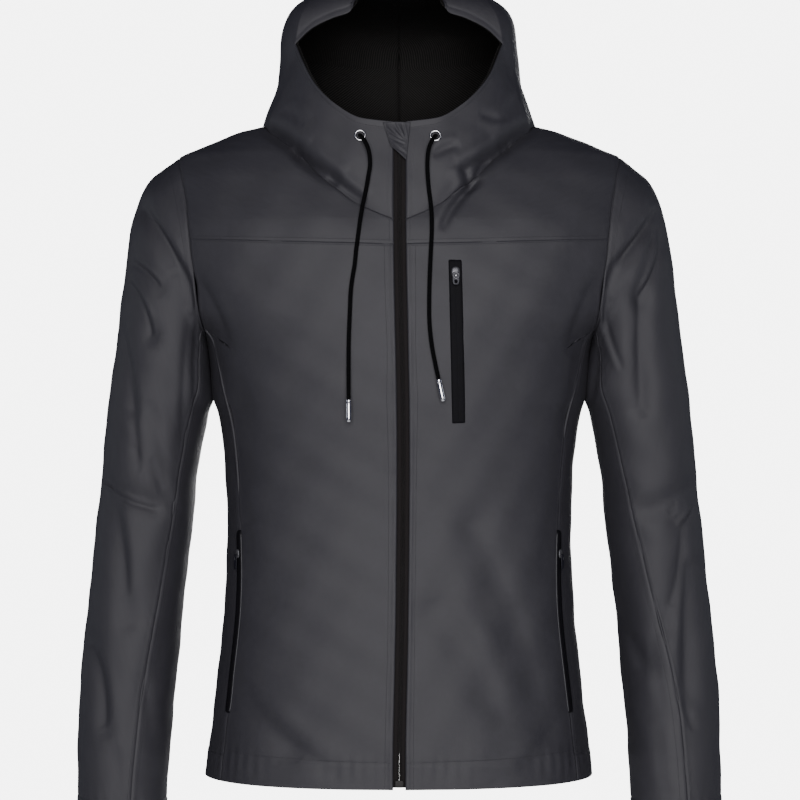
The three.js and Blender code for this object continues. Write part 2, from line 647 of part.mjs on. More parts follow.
/** Hood below its corner: a cubic from the neckline to the rim's lower half or the ring. */
function hoodSide(side) {
  return (column, t) => {
    const start = bareBody(...neckline(side, column));
    const end = column < HOOD_CORNER ? vectorAt(rimLower, column) : crown(column, 0);
    if (column < 1) end.x += (1 - column) * side * zipMiddle(0);
    const leave = new THREE.Vector3(rise.x1(column), rise.y1(column), rise.z1(column));
    const arrive = new THREE.Vector3(rise.x2(column), rise.y2(column), rise.z2(column));
    return new THREE.CubicBezierCurve3(start, start.clone().add(leave),
      end.clone().sub(arrive), end).getPoint(t);
  };
}

/** Points, normals and faces of one half of the hood, slit along the rim to its corner. */
function hoodSheet(side, firstColumn) {
  const columns = steps(firstColumn, HOOD_BACK, HOOD_BACK - firstColumn);
  const lower = hoodSide(side);
  const points = [];
  const number = new Map();
  const put = (name, point) => {
    number.set(name, points.length);
    points.push(point);
  };
  for (let row = 0; row <= STEPS.hoodRows; row += 1) {
    for (const column of columns) put(`side ${column} ${row}`, lower(column, row / STEPS.hoodRows));
  }
  const crownColumns = steps(0, HOOD_BACK, HOOD_BACK);
  for (let row = 0; row < STEPS.crownRows; row += 1) {
    for (const column of crownColumns) {
      if (row === 0 && column >= HOOD_CORNER) {
        number.set(`crown ${column} 0`, number.get(`side ${column} ${STEPS.hoodRows}`));
      } else {
        put(`crown ${column} ${row}`, crown(column, row / STEPS.crownRows));
      }
    }
  }
  put('top', dome(0, 90));
  const faces = [];
  const square = (kind, column, row) => faces.push([[0, 0], [1, 0], [1, 1], [0, 1]]
    .map(([i, j]) => number.get(`${kind} ${column + i} ${row + j}`)));
  for (const column of columns.slice(0, -1)) {
    for (let row = 0; row < STEPS.hoodRows; row += 1) square('side', column, row);
  }
  for (const column of crownColumns.slice(0, -1)) {
    for (let row = 0; row < STEPS.crownRows - 1; row += 1) square('crown', column, row);
    faces.push([number.get(`crown ${column} ${STEPS.crownRows - 1}`),
      number.get(`crown ${column + 1} ${STEPS.crownRows - 1}`), number.get('top')]);
  }
  const normals = points.map(() => new THREE.Vector3());
  for (const face of faces) {
    for (let i = 1; i < face.length - 1; i += 1) {
      const [a, b, c] = [face[0], face[i], face[i + 1]].map((k) => points[k]);
      const flat = b.clone().sub(a).cross(c.clone().sub(a));
      face.forEach((corner) => normals[corner].add(flat));
    }
  }
  points.forEach((point, i) => {
    if (Math.abs(point.x) < 0.01) normals[i].x = 0;
    normals[i].normalize();
  });
  return { points, normals, faces };
}

function hood(side) {
  const { points, normals, faces } = hoodSheet(side, 0);
  const geometry = mirrored(wall(points, normals, faces, CLOTH), side);
  const eyelet = EYELETS.find((at) => at.side === side);
  return drilled(geometry, hoodSeat(eyelet), EYELET.hole);
}

/** The mesh lining lies just inside the hood and stops short of its rim. */
function hoodLining(side) {
  const { points, normals, faces } = hoodSheet(side, LINING.firstColumn);
  const behind = points.map((point, i) => point.clone().addScaledVector(normals[i], -LINING.behind));
  const edge = (point) => (Math.abs(point.x) < 1 ? SEAM_INSET : LINING.edge);
  return mirrored(wall(behind, normals, faces, MESH_CLOTH, edge), side);
}

/** Place on the hood's front under a point seen from the front, with its normal. */
function hoodSeat({ side, x, z }) {
  const surface = hoodSide(side);
  let { column, t } = HOOD_CELL;
  for (let pass = 0; pass < 20; pass += 1) {
    const here = surface(column, t);
    column += (x - here.x) / HOOD_CELL.wide;
    t += (z - here.z) / HOOD_CELL.high;
  }
  const normal = normalOf(surface, column, t, HOOD_STEP);
  const point = surface(column, t);
  point.x *= side;
  normal.x *= side;
  return { point, normal };
}

// Solids drilled, lofted and laid on

/** A closed cylinder through a seat, along its normal. */
function pin({ point, normal }, radius, long) {
  const geometry = new THREE.CylinderGeometry(radius, radius, long, EYELET.sides);
  return along(geometry, point, normal);
}

/** Turns a geometry's Y axis to a direction and moves it to a point. */
function along(geometry, point, direction) {
  const turn = new THREE.Quaternion().setFromUnitVectors(new THREE.Vector3(0, 1, 0), direction);
  return geometry.applyQuaternion(turn).translate(point.x, point.y, point.z);
}

function toManifold(geometry) {
  const plain = geometry.clone();
  plain.deleteAttribute('normal');
  plain.deleteAttribute('uv');
  const merged = mergeVertices(plain, 1e-4);
  return new wasm.Manifold(new wasm.Mesh({
    numProp: 3,
    vertProperties: new Float32Array(merged.attributes.position.array),
    triVerts: new Uint32Array(merged.index.array),
  }));
}

/** The geometry with a round hole through its cloth at a seat. */
function drilled(geometry, seat, radius) {
  const cut = toManifold(geometry).subtract(toManifold(pin(seat, radius, 4 * CLOTH))).getMesh();
  const result = new THREE.BufferGeometry();
  result.setAttribute('position', new THREE.BufferAttribute(cut.vertProperties, 3));
  result.setIndex(new THREE.BufferAttribute(cut.triVerts, 1));
  return result;
}

/** Closed solid through sections that all have the same number of corners. */
function loft(sections) {
  const corners = sections[0].length;
  const triangles = [];
  for (let row = 0; row < sections.length - 1; row += 1) {
    for (let i = 0; i < corners; i += 1) {
      const a = row * corners + i;
      const b = row * corners + ((i + 1) % corners);
      triangles.push(a, b, b + corners, a, b + corners, a + corners);
    }
  }
  const last = (sections.length - 1) * corners;
  for (let i = 1; i < corners - 1; i += 1) {
    triangles.push(0, i + 1, i, last, last + i, last + i + 1);
  }
  return solid(sections.flat(), triangles);
}

/** The zip's line up the front, from hem to chin: points with their forward direction. */
function zipLine() {
  const inHood = hoodSide(LEFT);
  const up = [
    ...[ZIP.bottom, ...frontEdge.slice(1), NECK_FRONT].map((z) => [bareBody(0, z).y, z]),
    ...steps(0, 1, STEPS.hoodRows).slice(1).map((t) => {
      const point = inHood(0, t);
      return [point.y, Math.min(point.z, ZIP.top)];
    }),
  ];
  return up.map(([y, z], i) => {
    const before = up[Math.max(0, i - 1)];
    const after = up[Math.min(up.length - 1, i + 1)];
    const forward = new THREE.Vector3(0, -(after[1] - before[1]), after[0] - before[0]).normalize();
    return { point: new THREE.Vector3(zipMiddle(z), y, z), forward };
  });
}

/** A strip along the zip's line: from x0 to x1, from `low` to `high` in front of the line. */
function zipStrip(line, x0, x1, low, high) {
  return loft(line.map(({ point, forward }) => [[x0, low], [x1, low], [x1, high], [x0, high]]
    .map(([x, off]) => point.clone().add(new THREE.Vector3(x, 0, 0)).addScaledVector(forward, off))));
}

const zipPath = zipLine();
const tapeFace = -CLOTH - ZIP.behind;
const coilBase = tapeFace + SOLID_GAP;

/** The zip's line at one height. */
function zipAt(z) {
  const next = zipPath.findIndex(({ point }) => point.z >= z);
  const [a, b] = [zipPath[next - 1], zipPath[next]];
  const t = (z - a.point.z) / (b.point.z - a.point.z);
  const forward = a.forward.clone().lerp(b.forward, t).normalize();
  return { point: a.point.clone().lerp(b.point, t), forward };
}

/** Part of the zip's line between two heights. */
const zipStretch = (low, high) => [zipAt(low),
  ...zipPath.filter(({ point }) => point.z > low + 1 && point.z < high - 1), zipAt(high)];

/** The flap over the zip's top: four corners seen from the front, blended and bulged. */
function zipGarage() {
  const points = [];
  const normals = [];
  for (let j = 0; j <= GARAGE.rows; j += 1) {
    for (let i = 0; i <= GARAGE.columns; i += 1) {
      const u = i / GARAGE.columns;
      const v = j / GARAGE.rows;
      const [x, z] = ['x', 'z'].map((axis) => mix(mix(GARAGE.lowLeft[axis], GARAGE.lowRight[axis], u),
        mix(GARAGE.topLeft[axis], GARAGE.topRight[axis], u), v));
      const { point, forward } = zipAt(Math.min(z, ZIP.top - 0.1));
      const off = GARAGE.off + GARAGE.thick + GARAGE.bulge * Math.sin(Math.PI * u);
      points.push(new THREE.Vector3(x, point.y, z).addScaledVector(forward, off));
      normals.push(forward.clone());
    }
  }
  return wall(points, normals, squares(GARAGE.columns, GARAGE.rows), GARAGE.thick, () => 0);
}

/** Strip laid on the body: rows of [left angle, right angle, height], off the cloth. */
function laidStrip(side, rows, off, thick) {
  const surface = body(side);
  const place = (angle, z, away) => surface(angle, z)
    .addScaledVector(normalOf(surface, angle, z, BODY_STEP), away);
  return mirrored(loft(rows.map(([a, b, z]) => [place(a, z, off), place(b, z, off),
    place(b, z, off + thick), place(a, z, off + thick)])), side);
}

function chestMiddle(z) {
  const down = (CHEST_ZIP.top - z) / (CHEST_ZIP.top - CHEST_ZIP.bottom);
  return mix(CHEST_ZIP.topX, CHEST_ZIP.bottomX, down);
}

const chestRows = steps(CHEST_ZIP.bottom, CHEST_ZIP.top, CHEST_ZIP.rows).map((z) => {
  const middle = chestMiddle(z);
  return [angleAt(middle - CHEST_ZIP.half, z), angleAt(middle + CHEST_ZIP.half, z), z];
});
const handRows = steps(HAND_ZIP.bottom, HAND_ZIP.top, HAND_ZIP.rows).map((z) => {
  const here = bareBody(sideSeam(z), z);
  const perDegree = bareBody(sideSeam(z) + 1, z).distanceTo(here);
  return [sideSeam(z) - HAND_ZIP.half / perDegree, sideSeam(z) + HAND_ZIP.half / perDegree, z];
});

/** Where a slider sits on the body: point on the strip's face, outward and sideways. */
function sliderSeat(side, angle, z, thick) {
  const surface = body(side);
  const out = normalOf(surface, angle, z, BODY_STEP);
  const point = surface(angle, z).addScaledVector(out, SURFACE_GAP + thick + SOLID_GAP);
  return { point, out };
}

/** Plate seen from outside with round corners, `thick` along its seat's direction. */
function plate(seat, { half, long, thick, round }) {
  const shape = new THREE.Shape();
  const [right, top] = [half - round, long / 2 - round];
  [[right, top], [-right, top], [-right, -top], [right, -top]].forEach(([x, y], quarter) => {
    shape.absarc(x, y, round, (quarter * Math.PI) / 2, ((quarter + 1) * Math.PI) / 2);
  });
  const settings = { depth: thick, bevelEnabled: false, curveSegments: 3 };
  const geometry = new THREE.ExtrudeGeometry(shape, settings);
  const out = seat.out.clone();
  const across = new THREE.Vector3(0, 0, 1).cross(out).normalize();
  const up = out.clone().cross(across);
  const basis = new THREE.Matrix4().makeBasis(across, up, out).setPosition(seat.point);
  return geometry.applyMatrix4(basis);
}

/** Slider and its hanging tab, the tab's hinge across its top. */
function sliderAndTab(side, angle, slider, tab, stripThick) {
  const seat = sliderSeat(side, angle, slider.z, stripThick);
  const block = plate(seat, slider);
  const down = new THREE.Vector3(0, 0, 1).cross(seat.out).cross(seat.out).normalize();
  const tabSeat = {
    point: seat.point.clone().addScaledVector(seat.out, slider.thick + TAB_CLEAR)
      .addScaledVector(down, tab.long / 2),
    out: seat.out,
  };
  return {
    slider: mirrored(toPlain(block), side),
    tab: mirrored(toPlain(plate(tabSeat, tab)), side),
  };
}

/** Indexed copy of a geometry with positions alone. */
function toPlain(geometry) {
  geometry.deleteAttribute('normal');
  geometry.deleteAttribute('uv');
  return mergeVertices(geometry, 1e-4);
}

// Eyelets and drawcord

function eyelet(at) {
  const seat = hoodSeat(at);
  const low = SURFACE_GAP + SOLID_GAP;
  const ring = [
    [EYELET.hole, low], [EYELET.outer, low], [EYELET.outer, low + EYELET.shoulder],
    [(EYELET.outer + EYELET.hole) / 2, low + EYELET.high], [EYELET.hole, low + EYELET.lip],
    [EYELET.hole, low],
  ].map(([radius, up]) => new THREE.Vector2(radius, up));
  return along(new THREE.LatheGeometry(ring, EYELET.sides), seat.point, seat.normal);
}

function cordCurve(side) {
  return new THREE.CatmullRomCurve3(CORD_ROUTES[side].map(([x, y, z]) => new THREE.Vector3(x, y, z)));
}

function drawcord(side) {
  const path = cordCurve(side);
  const section = new THREE.Shape(steps(0, 2 * Math.PI, CORD.sides).slice(1)
    .map((turn) => new THREE.Vector2(CORD.radius * Math.cos(turn), CORD.radius * Math.sin(turn))));
  const count = Math.round(path.getLength() / CORD.step);
  return new THREE.ExtrudeGeometry(section, { steps: count, bevelEnabled: false, extrudePath: path });
}

/** Metal tip beyond the cord's end, in line with it. */
function cordTip(side) {
  const path = cordCurve(side);
  const end = path.getPointAt(1);
  const direction = path.getTangentAt(1);
  const { radius, neck, long, bevel } = CORD_TIP;
  const outline = [
    [0, SOLID_GAP], [neck, SOLID_GAP], [radius, bevel], [radius, long - bevel], [neck, long], [0, long],
  ].map(([out, up]) => new THREE.Vector2(out, up));
  return along(new THREE.LatheGeometry(outline, CORD_TIP.sides), end, direction);
}

// Assembly

const COLOURS = {
  shell: { color: 0x3e3e44, roughness: 0.75, metalness: 0 },
  lining: { color: 0x0b0b0c, roughness: 0.9, metalness: 0 },
  zip: { color: 0x1b1618, roughness: 0.6, metalness: 0 },
  pocketZip: { color: 0x1b1b25, roughness: 0.6, metalness: 0 },
  cord: { color: 0x08080a, roughness: 0.85, metalness: 0 },
  steel: { color: 0xc8c8cc, roughness: 0.25, metalness: 1 },
  pull: { color: 0x4a4a50, roughness: 0.4, metalness: 0.6 },
};

const jacket = new THREE.Group();

function add(name, geometry, colour) {
  const mesh = new THREE.Mesh(geometry, new THREE.MeshStandardMaterial(COLOURS[colour]));
  mesh.name = name;
  jacket.add(mesh);
}

for (const [name, side] of [['left', LEFT], ['right', RIGHT]]) {
  add(`yoke_${name}`, yoke(side), 'shell');
  add(`front_${name}`, front(side), 'shell');
  add(`side_${name}`, sidePanel(side), 'shell');
  add(`sleeve_top_${name}`, sleevePiece(side, overTurns, false), 'shell');
  add(`sleeve_under_${name}`, sleevePiece(side, armholeOf.under, true), 'shell');
  add(`hood_${name}`, hood(side), 'shell');
  add(`hood_lining_${name}`, hoodLining(side), 'lining');
  const [near, far] = [ZIP.tapeGap, ZIP.tapeWide].map((x) => side * x);
  add(`zip_tape_${name}`, zipStrip(zipPath, near, far, tapeFace - ZIP.tapeThick, tapeFace), 'zip');
  add(`hand_zip_${name}`, laidStrip(side, handRows, SURFACE_GAP, HAND_ZIP.thick), 'pocketZip');
  const hand = sliderAndTab(side, sideSeam(SLIDERS.hand.z), SLIDERS.hand, TABS.hand, HAND_ZIP.thick);
  add(`hand_slider_${name}`, hand.slider, 'pull');
  add(`hand_tab_${name}`, hand.tab, 'pull');
  add(`eyelet_${name}`, eyelet(EYELETS.find((at) => at.side === side)), 'steel');
  add(`drawcord_${name}`, drawcord(side), 'cord');
  add(`cord_tip_${name}`, cordTip(side), 'steel');
}
add('back', back(), 'shell');
add('zip_coil', zipStrip(zipStretch(ZIP_BOX.high + ZIP.endGap, ZIP_SLIDER.low - ZIP.endGap),
  -ZIP.coilHalf, ZIP.coilHalf, coilBase, coilBase + ZIP.coilThick), 'zip');
add('zip_box', zipStrip(zipStretch(ZIP_BOX.low, ZIP_BOX.high), -ZIP_BOX.half, ZIP_BOX.half,
  coilBase, coilBase + ZIP_BOX.thick), 'zip');
add('zip_slider', zipStrip(zipStretch(ZIP_SLIDER.low, ZIP_SLIDER.high), -ZIP_SLIDER.half, ZIP_SLIDER.half,
  coilBase, coilBase + ZIP_SLIDER.thick), 'pull');
add('zip_garage', zipGarage(), 'shell');
add('chest_zip', laidStrip(LEFT, chestRows, SURFACE_GAP, CHEST_ZIP.thick), 'pocketZip');
const chest = sliderAndTab(LEFT, angleAt(chestMiddle(SLIDERS.chest.z), SLIDERS.chest.z), SLIDERS.chest,
  TABS.chest, CHEST_ZIP.thick);
add('chest_slider', chest.slider, 'pull');
add('chest_tab', chest.tab, 'pull');

export default jacket;
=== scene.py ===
# %% [markdown]
# # A hooded softshell jacket
#
# The jacket is filled out as if worn, with nobody in it. Its frame comes from the packed
# model: every piece made here lies where that model's solid lies and then hides it. All
# shapes are worked out in millimetres, with x across, y to the back and z up, and they are
# turned into metres when a mesh is made.

# %% The fixed frame
import bmesh
import bpy
import numpy as np
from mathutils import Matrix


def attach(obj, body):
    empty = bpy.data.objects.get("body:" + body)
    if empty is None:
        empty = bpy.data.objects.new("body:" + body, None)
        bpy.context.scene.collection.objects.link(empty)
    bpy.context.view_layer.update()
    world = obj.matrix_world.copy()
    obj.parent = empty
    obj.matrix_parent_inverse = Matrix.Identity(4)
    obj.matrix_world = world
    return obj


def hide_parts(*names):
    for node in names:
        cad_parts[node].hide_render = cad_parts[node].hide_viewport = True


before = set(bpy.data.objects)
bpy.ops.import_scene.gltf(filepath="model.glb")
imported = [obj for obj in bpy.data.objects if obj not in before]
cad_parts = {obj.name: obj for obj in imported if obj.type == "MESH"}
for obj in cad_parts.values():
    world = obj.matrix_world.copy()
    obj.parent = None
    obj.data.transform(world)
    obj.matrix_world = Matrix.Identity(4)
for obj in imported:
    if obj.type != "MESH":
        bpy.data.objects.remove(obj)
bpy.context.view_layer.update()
MM = 0.001
SIDES = {"left": 1, "right": -1}
print("nodes in the frame:", len(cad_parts))

# %% [markdown]
# ## The camera
#
# The photo was taken level and straight from the front, from far enough away that the
# sleeves hardly shrink. A long lens at 2.5 m gives the same picture: the photo's width
# covers 832 mm at the jacket's middle.

# %% Camera
CAMERA_AT = (0.00104, -2.5, -0.2839)
PHOTO_WIDE = 0.832

camera = bpy.data.objects.new("camera", bpy.data.cameras.new("camera"))
camera.data.sensor_width = 36
camera.data.lens = camera.data.sensor_width * -CAMERA_AT[1] / PHOTO_WIDE
camera.location = CAMERA_AT
camera.rotation_euler = (np.pi / 2, 0, 0)
bpy.context.scene.collection.objects.link(camera)
bpy.context.scene.camera = camera
print(f"lens {camera.data.lens:.1f} mm")

# %% [markdown]
# ## Meshes from arrays
#
# Almost every piece is a grid of points, so one helper numbers the grid's squares and
# another turns points and squares into a mesh. A cloth piece also gets a UV map in metres,
# so that a weave keeps its true size and follows the piece's own grain.

# %% Grids and pieces
def grid_faces(rows, columns, around=False):
    """Corner numbers of a grid's squares; `around` joins the last column to the first as well."""
    row, column = np.meshgrid(np.arange(rows - 1), np.arange(columns - (not around)), indexing="ij")
    after = (column + 1) % columns
    low = row * columns
    high = low + columns
    return np.stack([low + column, low + after, high + after, high + column], axis=-1).reshape(-1, 4)


def new_piece(name, points, faces, slot, uv=None, body="jacket", replaces=(), merge=False, look=None):
    """A mesh object from points in millimetres, riding on a body and standing for its CAD nodes."""
    mesh = bpy.data.meshes.new(name)
    mesh.from_pydata((np.asarray(points).reshape(-1, 3) * MM).tolist(), [], faces.tolist())
    if uv is not None:
        corners = uv.reshape(-1, 2)[faces.reshape(-1)].astype(np.float32)
        mesh.uv_layers.new(name="cloth").data.foreach_set("uv", corners.reshape(-1))
    if merge:
        work = bmesh.new()
        work.from_mesh(mesh)
        bmesh.ops.remove_doubles(work, verts=work.verts, dist=2e-6)
        bmesh.ops.dissolve_degenerate(work, edges=work.edges, dist=1e-7)
        work.to_mesh(mesh)
        work.free()
    mesh.shade_smooth()
    piece = bpy.data.objects.new(name, mesh)
    bpy.context.scene.collection.objects.link(piece)
    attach(piece, body)
    if replaces:
        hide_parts(*replaces)
    mesh.materials.append(MATERIALS[look or slot])
    return piece


def outward(faces, sign):
    """Faces as they are on the wearer's left, turned round on the mirrored side."""
    return faces if sign > 0 else faces[:, ::-1]


def unit(vectors):
    """Vectors divided by their own length."""
    return vectors / np.maximum(np.linalg.norm(vectors, axis=-1, keepdims=True), 1e-12)


def crossed_diagonals(points, faces):
    """Normal of each square, twice as long as its area."""
    a, b, c, d = (points[faces[:, corner]] for corner in range(4))
    return np.cross(c - a, d - b)


def face_normals_at_points(points, faces):
    """Unit normal at each point: the sum of the crossed diagonals of the squares around it."""
    flat = crossed_diagonals(points, faces)
    total = np.zeros_like(points)
    for corner in range(4):
        np.add.at(total, faces[:, corner], flat)
    return unit(total)


def along(path):
    """Distance from a path's start at each of its points."""
    return np.concatenate([[0], np.cumsum(np.linalg.norm(np.diff(path, axis=0), axis=1))])


MATERIALS = {}
print("helpers ready")

# %% [markdown]
# ## Finishes
#
# A softshell's face is a tight stretch weave in one dark colour. What makes it look like
# cloth is a faint mottling where the yarn takes the dye unevenly, and a fine relief. Both
# are made once, as a node group, and each fabric uses it with its own scale.

# %% Node helpers
def node(tree, kind, inputs=(), **settings):
    """A shader node with its settings, its inputs given as (socket, value or output)."""
    made = tree.nodes.new(kind)
    for key, value in settings.items():
        setattr(made, key, value)
    for key, value in inputs:
        if isinstance(value, bpy.types.NodeSocket):
            tree.links.new(value, made.inputs[key])
        else:
            made.inputs[key].default_value = value
    return made


def maths(tree, operation, *values):
    """Output of a Math node."""
    return node(tree, "ShaderNodeMath", list(enumerate(values)), operation=operation).outputs[0]


def new_group(name, inputs, outputs):
    """Empty node group with float inputs (name, default) and float outputs."""
    group = bpy.data.node_groups.new(name, "ShaderNodeTree")
    for title, default in inputs:
        socket = group.interface.new_socket(name=title, in_out="INPUT", socket_type="NodeSocketFloat")
        socket.default_value = default
    for title in outputs:
        group.interface.new_socket(name=title, in_out="OUTPUT", socket_type="NodeSocketFloat")
    return group, group.nodes.new("NodeGroupInput"), group.nodes.new("NodeGroupOutput")


def cloth_uv(group):
    """The cloth's UV map: the place itself, and its parts across and down."""
    place = node(group, "ShaderNodeUVMap", uv_map="cloth").outputs["UV"]
    split = node(group, "ShaderNodeSeparateXYZ", [("Vector", place)])
    return place, split.outputs["X"], split.outputs["Y"]


def sine_of(group, value, *factors):
    """Sine of a value times some factors."""
    for factor in factors:
        value = maths(group, "MULTIPLY", value, factor)
    return maths(group, "SINE", value)


# %% The woven face
def woven_face():
    """Weave height = crossed sines of the UV; shade = broad and fine noise added together."""
    group, entry, exit_node = new_group(
        "woven face", [("Threads per metre", 1400.0), ("Mottle per metre", 130.0)], ["Height", "Shade"])
    place, across, down = cloth_uv(group)
    turns = maths(group, "MULTIPLY", entry.outputs["Threads per metre"], 2 * np.pi)
    crossed = maths(group, "MULTIPLY", sine_of(group, across, turns), sine_of(group, down, turns))
    broad = node(group, "ShaderNodeTexNoise", [
        ("Vector", place), ("Scale", entry.outputs["Mottle per metre"]), ("Detail", 3.0),
        ("Roughness", 0.6), ("Distortion", 0.4)]).outputs[0]
    fine = node(group, "ShaderNodeTexNoise", [
        ("Vector", place), ("Scale", maths(group, "MULTIPLY", entry.outputs["Mottle per metre"], 7.0)),
        ("Detail", 2.0), ("Roughness", 0.7)]).outputs[0]
    shade = maths(group, "ADD", maths(group, "MULTIPLY", broad, 0.65), maths(group, "MULTIPLY", fine, 0.35))
    height = maths(group, "ADD", maths(group, "MULTIPLY", crossed, 0.5), fine)
    group.links.new(height, exit_node.inputs["Height"])
    group.links.new(shade, exit_node.inputs["Shade"])
    return group


def open_mesh():
    """Knitted mesh: two crossing slanted sines leave round dots; 1 on the yarn and 0 in the holes."""
    group, entry, exit_node = new_group("open mesh", [("Holes per metre", 370.0)], ["Height"])
    _, across, down = cloth_uv(group)
    turns = maths(group, "MULTIPLY", entry.outputs["Holes per metre"], np.pi)
    one, two = (maths(group, "ABSOLUTE", sine_of(group, maths(group, slant, across, down), turns))
                for slant in ("ADD", "SUBTRACT"))
    group.links.new(maths(group, "MULTIPLY", one, two), exit_node.inputs["Height"])
    return group


def braid():
    """Braided strands: two families of slanted sines over the cord's UV, the higher one showing."""
    group, entry, exit_node = new_group("braid", [("Strands", 6.0), ("Slant per metre", 260.0)], ["Height"])
    _, across, down = cloth_uv(group)
    turns = [maths(group, "MULTIPLY", value, maths(group, "MULTIPLY", entry.outputs[title], 2 * np.pi))
             for value, title in ((across, "Strands"), (down, "Slant per metre"))]
    one, two = (maths(group, "SINE", maths(group, slant, *turns)) for slant in ("ADD", "SUBTRACT"))
    group.links.new(maths(group, "MAXIMUM", one, two), exit_node.inputs["Height"])
    return group


WOVEN, OPEN_MESH, BRAID = woven_face(), open_mesh(), braid()
print("node groups:", [group.name for group in (WOVEN, OPEN_MESH, BRAID)])

# %% [markdown]
# Each finish mixes a dark and a light tone of its colour by a mask, and lifts the surface
# with a Bump node. The lining's near-black tone in its holes is the dark cloth behind them
# with painted shade, and the piping's pale tones are a painted highlight. The cloth's gloss
# is low and even, so its shape shows by soft shading.

# %% Materials
def finish(name, group, settings, mask, dark, light, rough, bump, metallic=0.0, specular=0.4, coat=0.0):
    """Principled material: colour between two tones and roughness between two values by a group's mask."""
    material = bpy.data.materials.new(name)
    material.use_nodes = True
    tree = material.node_tree
    shader = tree.nodes["Principled BSDF"]
    pattern = node(tree, "ShaderNodeGroup", node_tree=group)
    for key, value in settings.items():
        pattern.inputs[key].default_value = value
    spread = node(tree, "ShaderNodeMapRange", [
        ("Value", pattern.outputs[mask]), ("From Min", 0.3), ("From Max", 0.7)])
    tone = node(tree, "ShaderNodeMix", [(0, spread.outputs[0])], data_type="RGBA")
    tone.inputs[6].default_value = (*dark, 1)
    tone.inputs[7].default_value = (*light, 1)
    tree.links.new(tone.outputs[2], shader.inputs["Base Color"])
    roughness = node(tree, "ShaderNodeMapRange", [
        ("Value", pattern.outputs[mask]), ("To Min", rough[0]), ("To Max", rough[1])])
    tree.links.new(roughness.outputs[0], shader.inputs["Roughness"])
    relief = node(tree, "ShaderNodeBump", [
        ("Height", pattern.outputs["Height"]), ("Distance", bump), ("Strength", 0.6)])
    tree.links.new(relief.outputs[0], shader.inputs["Normal"])
    shader.inputs["Metallic"].default_value = metallic
    shader.inputs["Specular IOR Level"].default_value = specular
    shader.inputs["Coat Weight"].default_value = coat
    return material


def hard_face():
    """Cast or pressed metal: fine pits and faint streaks on Object coordinates."""
    group, entry, exit_node = new_group("hard face", [("Grain per metre", 900.0)], ["Height", "Shade"])
    place = node(group, "ShaderNodeTexCoord").outputs["Object"]
    fine = node(group, "ShaderNodeTexNoise", [
        ("Vector", place), ("Scale", entry.outputs["Grain per metre"]), ("Detail", 3.0)]).outputs[0]
    streaks = maths(group, "MULTIPLY", entry.outputs["Grain per metre"], 0.2)
    broad = node(group, "ShaderNodeTexNoise", [("Vector", place), ("Scale", streaks)]).outputs[0]
    group.links.new(fine, exit_node.inputs["Height"])
    group.links.new(broad, exit_node.inputs["Shade"])
    return group


HARD = hard_face()
WEAVE = {"Threads per metre": 1400.0, "Mottle per metre": 130.0}
MATERIALS.update({
    "shell": finish("softshell", WOVEN, WEAVE, "Shade",
                    (0.019, 0.0182, 0.024), (0.026, 0.025, 0.032), (0.58, 0.66), 0.0001, specular=0.6),
    "thread": finish("sewing thread", WOVEN, {"Threads per metre": 3000.0}, "Shade",
                     (0.020, 0.020, 0.025), (0.036, 0.035, 0.042), (0.5, 0.65), 0.0001),
    # the lining's near-black tone in the mesh's holes is the dark cloth behind them with painted shade
    "lining": finish("lining mesh", OPEN_MESH, {"Holes per metre": 370.0}, "Height",
                     (0.0009, 0.0009, 0.0011), (0.024, 0.022, 0.021), (0.85, 0.5), 0.0007, specular=0.25),
    "zip_tape": finish("zip tape", WOVEN, {"Threads per metre": 1000.0}, "Shade",
                       (0.0055, 0.0038, 0.0042), (0.0085, 0.0062, 0.0066), (0.7, 0.85), 0.0002,
                       specular=0.25),
    "zip_coil": finish("zip coil", HARD, {"Grain per metre": 1500.0}, "Shade",
                       (0.006, 0.0046, 0.0048), (0.0095, 0.0078, 0.008), (0.45, 0.6), 0.00005, specular=0.3),
    "pocket_zip": finish("coated zip", WOVEN, {"Threads per metre": 900.0}, "Shade",
                         (0.0016, 0.0014, 0.0020), (0.0036, 0.0034, 0.0060), (0.66, 0.8), 0.00012,
                         specular=0.16),
    # the piping's pale tones are a painted highlight along the hand pockets' edges
    "piping": finish("piping with painted highlight", WOVEN, {"Threads per metre": 2000.0}, "Shade",
                     (0.055, 0.055, 0.062), (0.11, 0.11, 0.12), (0.35, 0.5), 0.0001),
    "puller": finish("grey enamel", HARD, {"Grain per metre": 1200.0}, "Shade",
                     (0.085, 0.085, 0.095), (0.13, 0.13, 0.14), (0.3, 0.45), 0.00004, metallic=0.6),
    "tab": finish("navy enamel", HARD, {"Grain per metre": 1200.0}, "Shade",
                  (0.007, 0.007, 0.012), (0.014, 0.014, 0.022), (0.3, 0.45), 0.00004, metallic=0.3),
    "eyelet": finish("pressed ring", HARD, {"Grain per metre": 1500.0}, "Shade",
                     (0.62, 0.62, 0.64), (0.78, 0.78, 0.80), (0.16, 0.28), 0.00003, metallic=1.0),
    "cord": finish("braided cord", BRAID, {}, "Height",
                   (0.0004, 0.0004, 0.0006), (0.0022, 0.0022, 0.0028), (0.9, 0.75), 0.0004, specular=0.1),
    "cord_tip": finish("bright tip", HARD, {"Grain per metre": 800.0}, "Shade",
                       (0.80, 0.80, 0.82), (0.90, 0.90, 0.92), (0.1, 0.2), 0.00002, metallic=1.0),
})
print("finishes:", ", ".join(MATERIALS))

# %% [markdown]
# ## The drawcord
#
# The hood's opening is drawn in by a round braided cord. Its two free ends come out of
# metal eyelets beside the zip, lie on the chest and end in metal tips. Each end is a tube
# along a given route: out of the hole for a few millimetres, over the ring's edge
# and down, close to the cloth.

